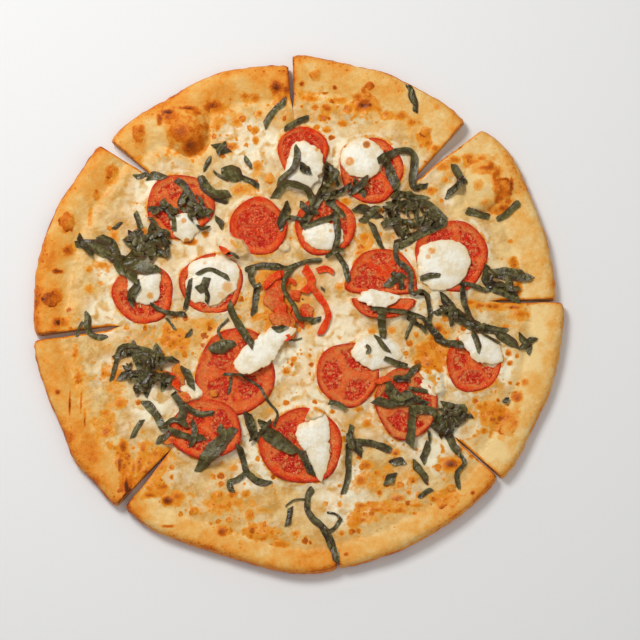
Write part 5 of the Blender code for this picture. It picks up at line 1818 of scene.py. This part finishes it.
class PIZZA_OT_basil(bpy.types.Operator):
    """Strews the basil in clumps and loose shreds"""

    bl_idname = "pizza.strew_basil"
    bl_label = "Basil"

    def execute(self, context):
        sizes = context.scene.pizza_sizes
        look = basil_look(context.scene.pizza_colours)
        thickness = sizes.basil_thickness / MM
        strips = basil_strips()

        def laid(shreds, seed):
            return [
                lay_shred(strips, width, line, seed + index, sizes.basil_crumple, thickness)
                for index, (width, *line) in enumerate(shreds)
            ]

        loose = join(laid(LOOSE_BASIL, LOOSE_DRAWS), "loose_basil")
        finish_piece(loose, "basil", look, smooth=LEAF_EDGE)
        for number, (name, shreds) in enumerate(BASIL.items()):
            made = laid(shreds, CLUMP_DRAWS + DRAWS_A_CLUMP * number)
            if name in HEAPS:
                made += crumpled_bits(strips, HEAPS[name], HEAP_DRAWS + number, thickness)
            finish_piece(join(made, "baked_" + name), "basil", look, [name], smooth=LEAF_EDGE)
        clear_strips(strips)
        return {"FINISHED"}


# Area lights: name, size and place in metres, and power in watts.
LIGHTS = (
    ("key_light", 0.45, (-0.5, 0.6, 1.1), 11.8),
    ("fill_light", 1.4, (0.7, -0.5, 1.3), 2.8),
)
ROOM_COLOUR = (1.0, 0.99, 0.97, 1.0)
ROOM_BRIGHTNESS = 0.36
# The camera: what it looks at and from how far, in metres, and how steeply, in degrees.
CAMERA_TARGET = (0.0146, -0.0058, 0.004)
CAMERA_DISTANCE = 2.443
CAMERA_ELEVATION = 80
CAMERA_LENS = 200.0


class PIZZA_OT_stage(bpy.types.Operator):
    """Sets the floor, the soft lights and the camera"""

    bl_idname = "pizza.set_stage"
    bl_label = "Stage"

    def execute(self, context):
        scene = context.scene
        bpy.ops.object.select_all(action="DESELECT")
        bpy.ops.mesh.primitive_plane_add(size=6.0, location=(0, 0, 0))
        floor = context.active_object
        floor.name = "floor"
        floor.data.materials.append(floor_look())
        for label, size, spot, power in LIGHTS:
            bpy.ops.object.light_add(type="AREA", location=spot)
            lamp = context.active_object
            lamp.name = label
            lamp.data.size = size
            lamp.data.energy = power
            lamp.rotation_euler = (-Vector(spot)).to_track_quat("-Z", "Y").to_euler()
        scene.world = bpy.data.worlds.new("soft_room")
        scene.world.use_nodes = True
        room = scene.world.node_tree.nodes["Background"].inputs
        room[0].default_value = ROOM_COLOUR
        room[1].default_value = ROOM_BRIGHTNESS
        elevation = math.radians(CAMERA_ELEVATION)
        back = Vector((0, -math.cos(elevation), math.sin(elevation)))
        spot = Vector(CAMERA_TARGET) + CAMERA_DISTANCE * back
        bpy.ops.object.camera_add(location=spot, rotation=(math.pi / 2 - elevation, 0, 0))
        camera = context.active_object
        camera.name = "camera"
        camera.data.lens = CAMERA_LENS
        camera.data.sensor_width = 36.0
        camera.data.clip_start = 0.1
        scene.camera = camera
        scene.view_settings.view_transform = "Standard"
        return {"FINISHED"}


class PIZZA_PT_panel(bpy.types.Panel):
    """Lists the pizza's pieces and settings"""

    bl_label = "Caprese pizza"
    bl_space_type = "VIEW_3D"
    bl_region_type = "UI"
    bl_category = "Pizza"

    def draw(self, context):
        for settings in (context.scene.pizza_sizes, context.scene.pizza_colours):
            for name in settings.__annotations__:
                self.layout.prop(settings, name)
        for operator in OPERATORS:
            self.layout.operator(operator.bl_idname)


OPERATORS = (
    PIZZA_OT_crust,
    PIZZA_OT_cheese,
    PIZZA_OT_tomato,
    PIZZA_OT_mozzarella,
    PIZZA_OT_basil,
    PIZZA_OT_stage,
)
CLASSES = (PizzaSizes, PizzaColours, *OPERATORS, PIZZA_PT_panel)


def register():
    for part in CLASSES:
        bpy.utils.register_class(part)
    bpy.types.Scene.pizza_sizes = bpy.props.PointerProperty(type=PizzaSizes)
    bpy.types.Scene.pizza_colours = bpy.props.PointerProperty(type=PizzaColours)


def unregister():
    del bpy.types.Scene.pizza_colours
    del bpy.types.Scene.pizza_sizes
    for part in reversed(CLASSES):
        bpy.utils.unregister_class(part)


def main():
    register()
    bpy.ops.pizza.bake_crust()
    bpy.ops.pizza.melt_cheese()
    bpy.ops.pizza.lay_tomato()
    bpy.ops.pizza.melt_mozzarella()
    bpy.ops.pizza.strew_basil()
    bpy.ops.pizza.set_stage()


if __name__ == "__main__":
    main()
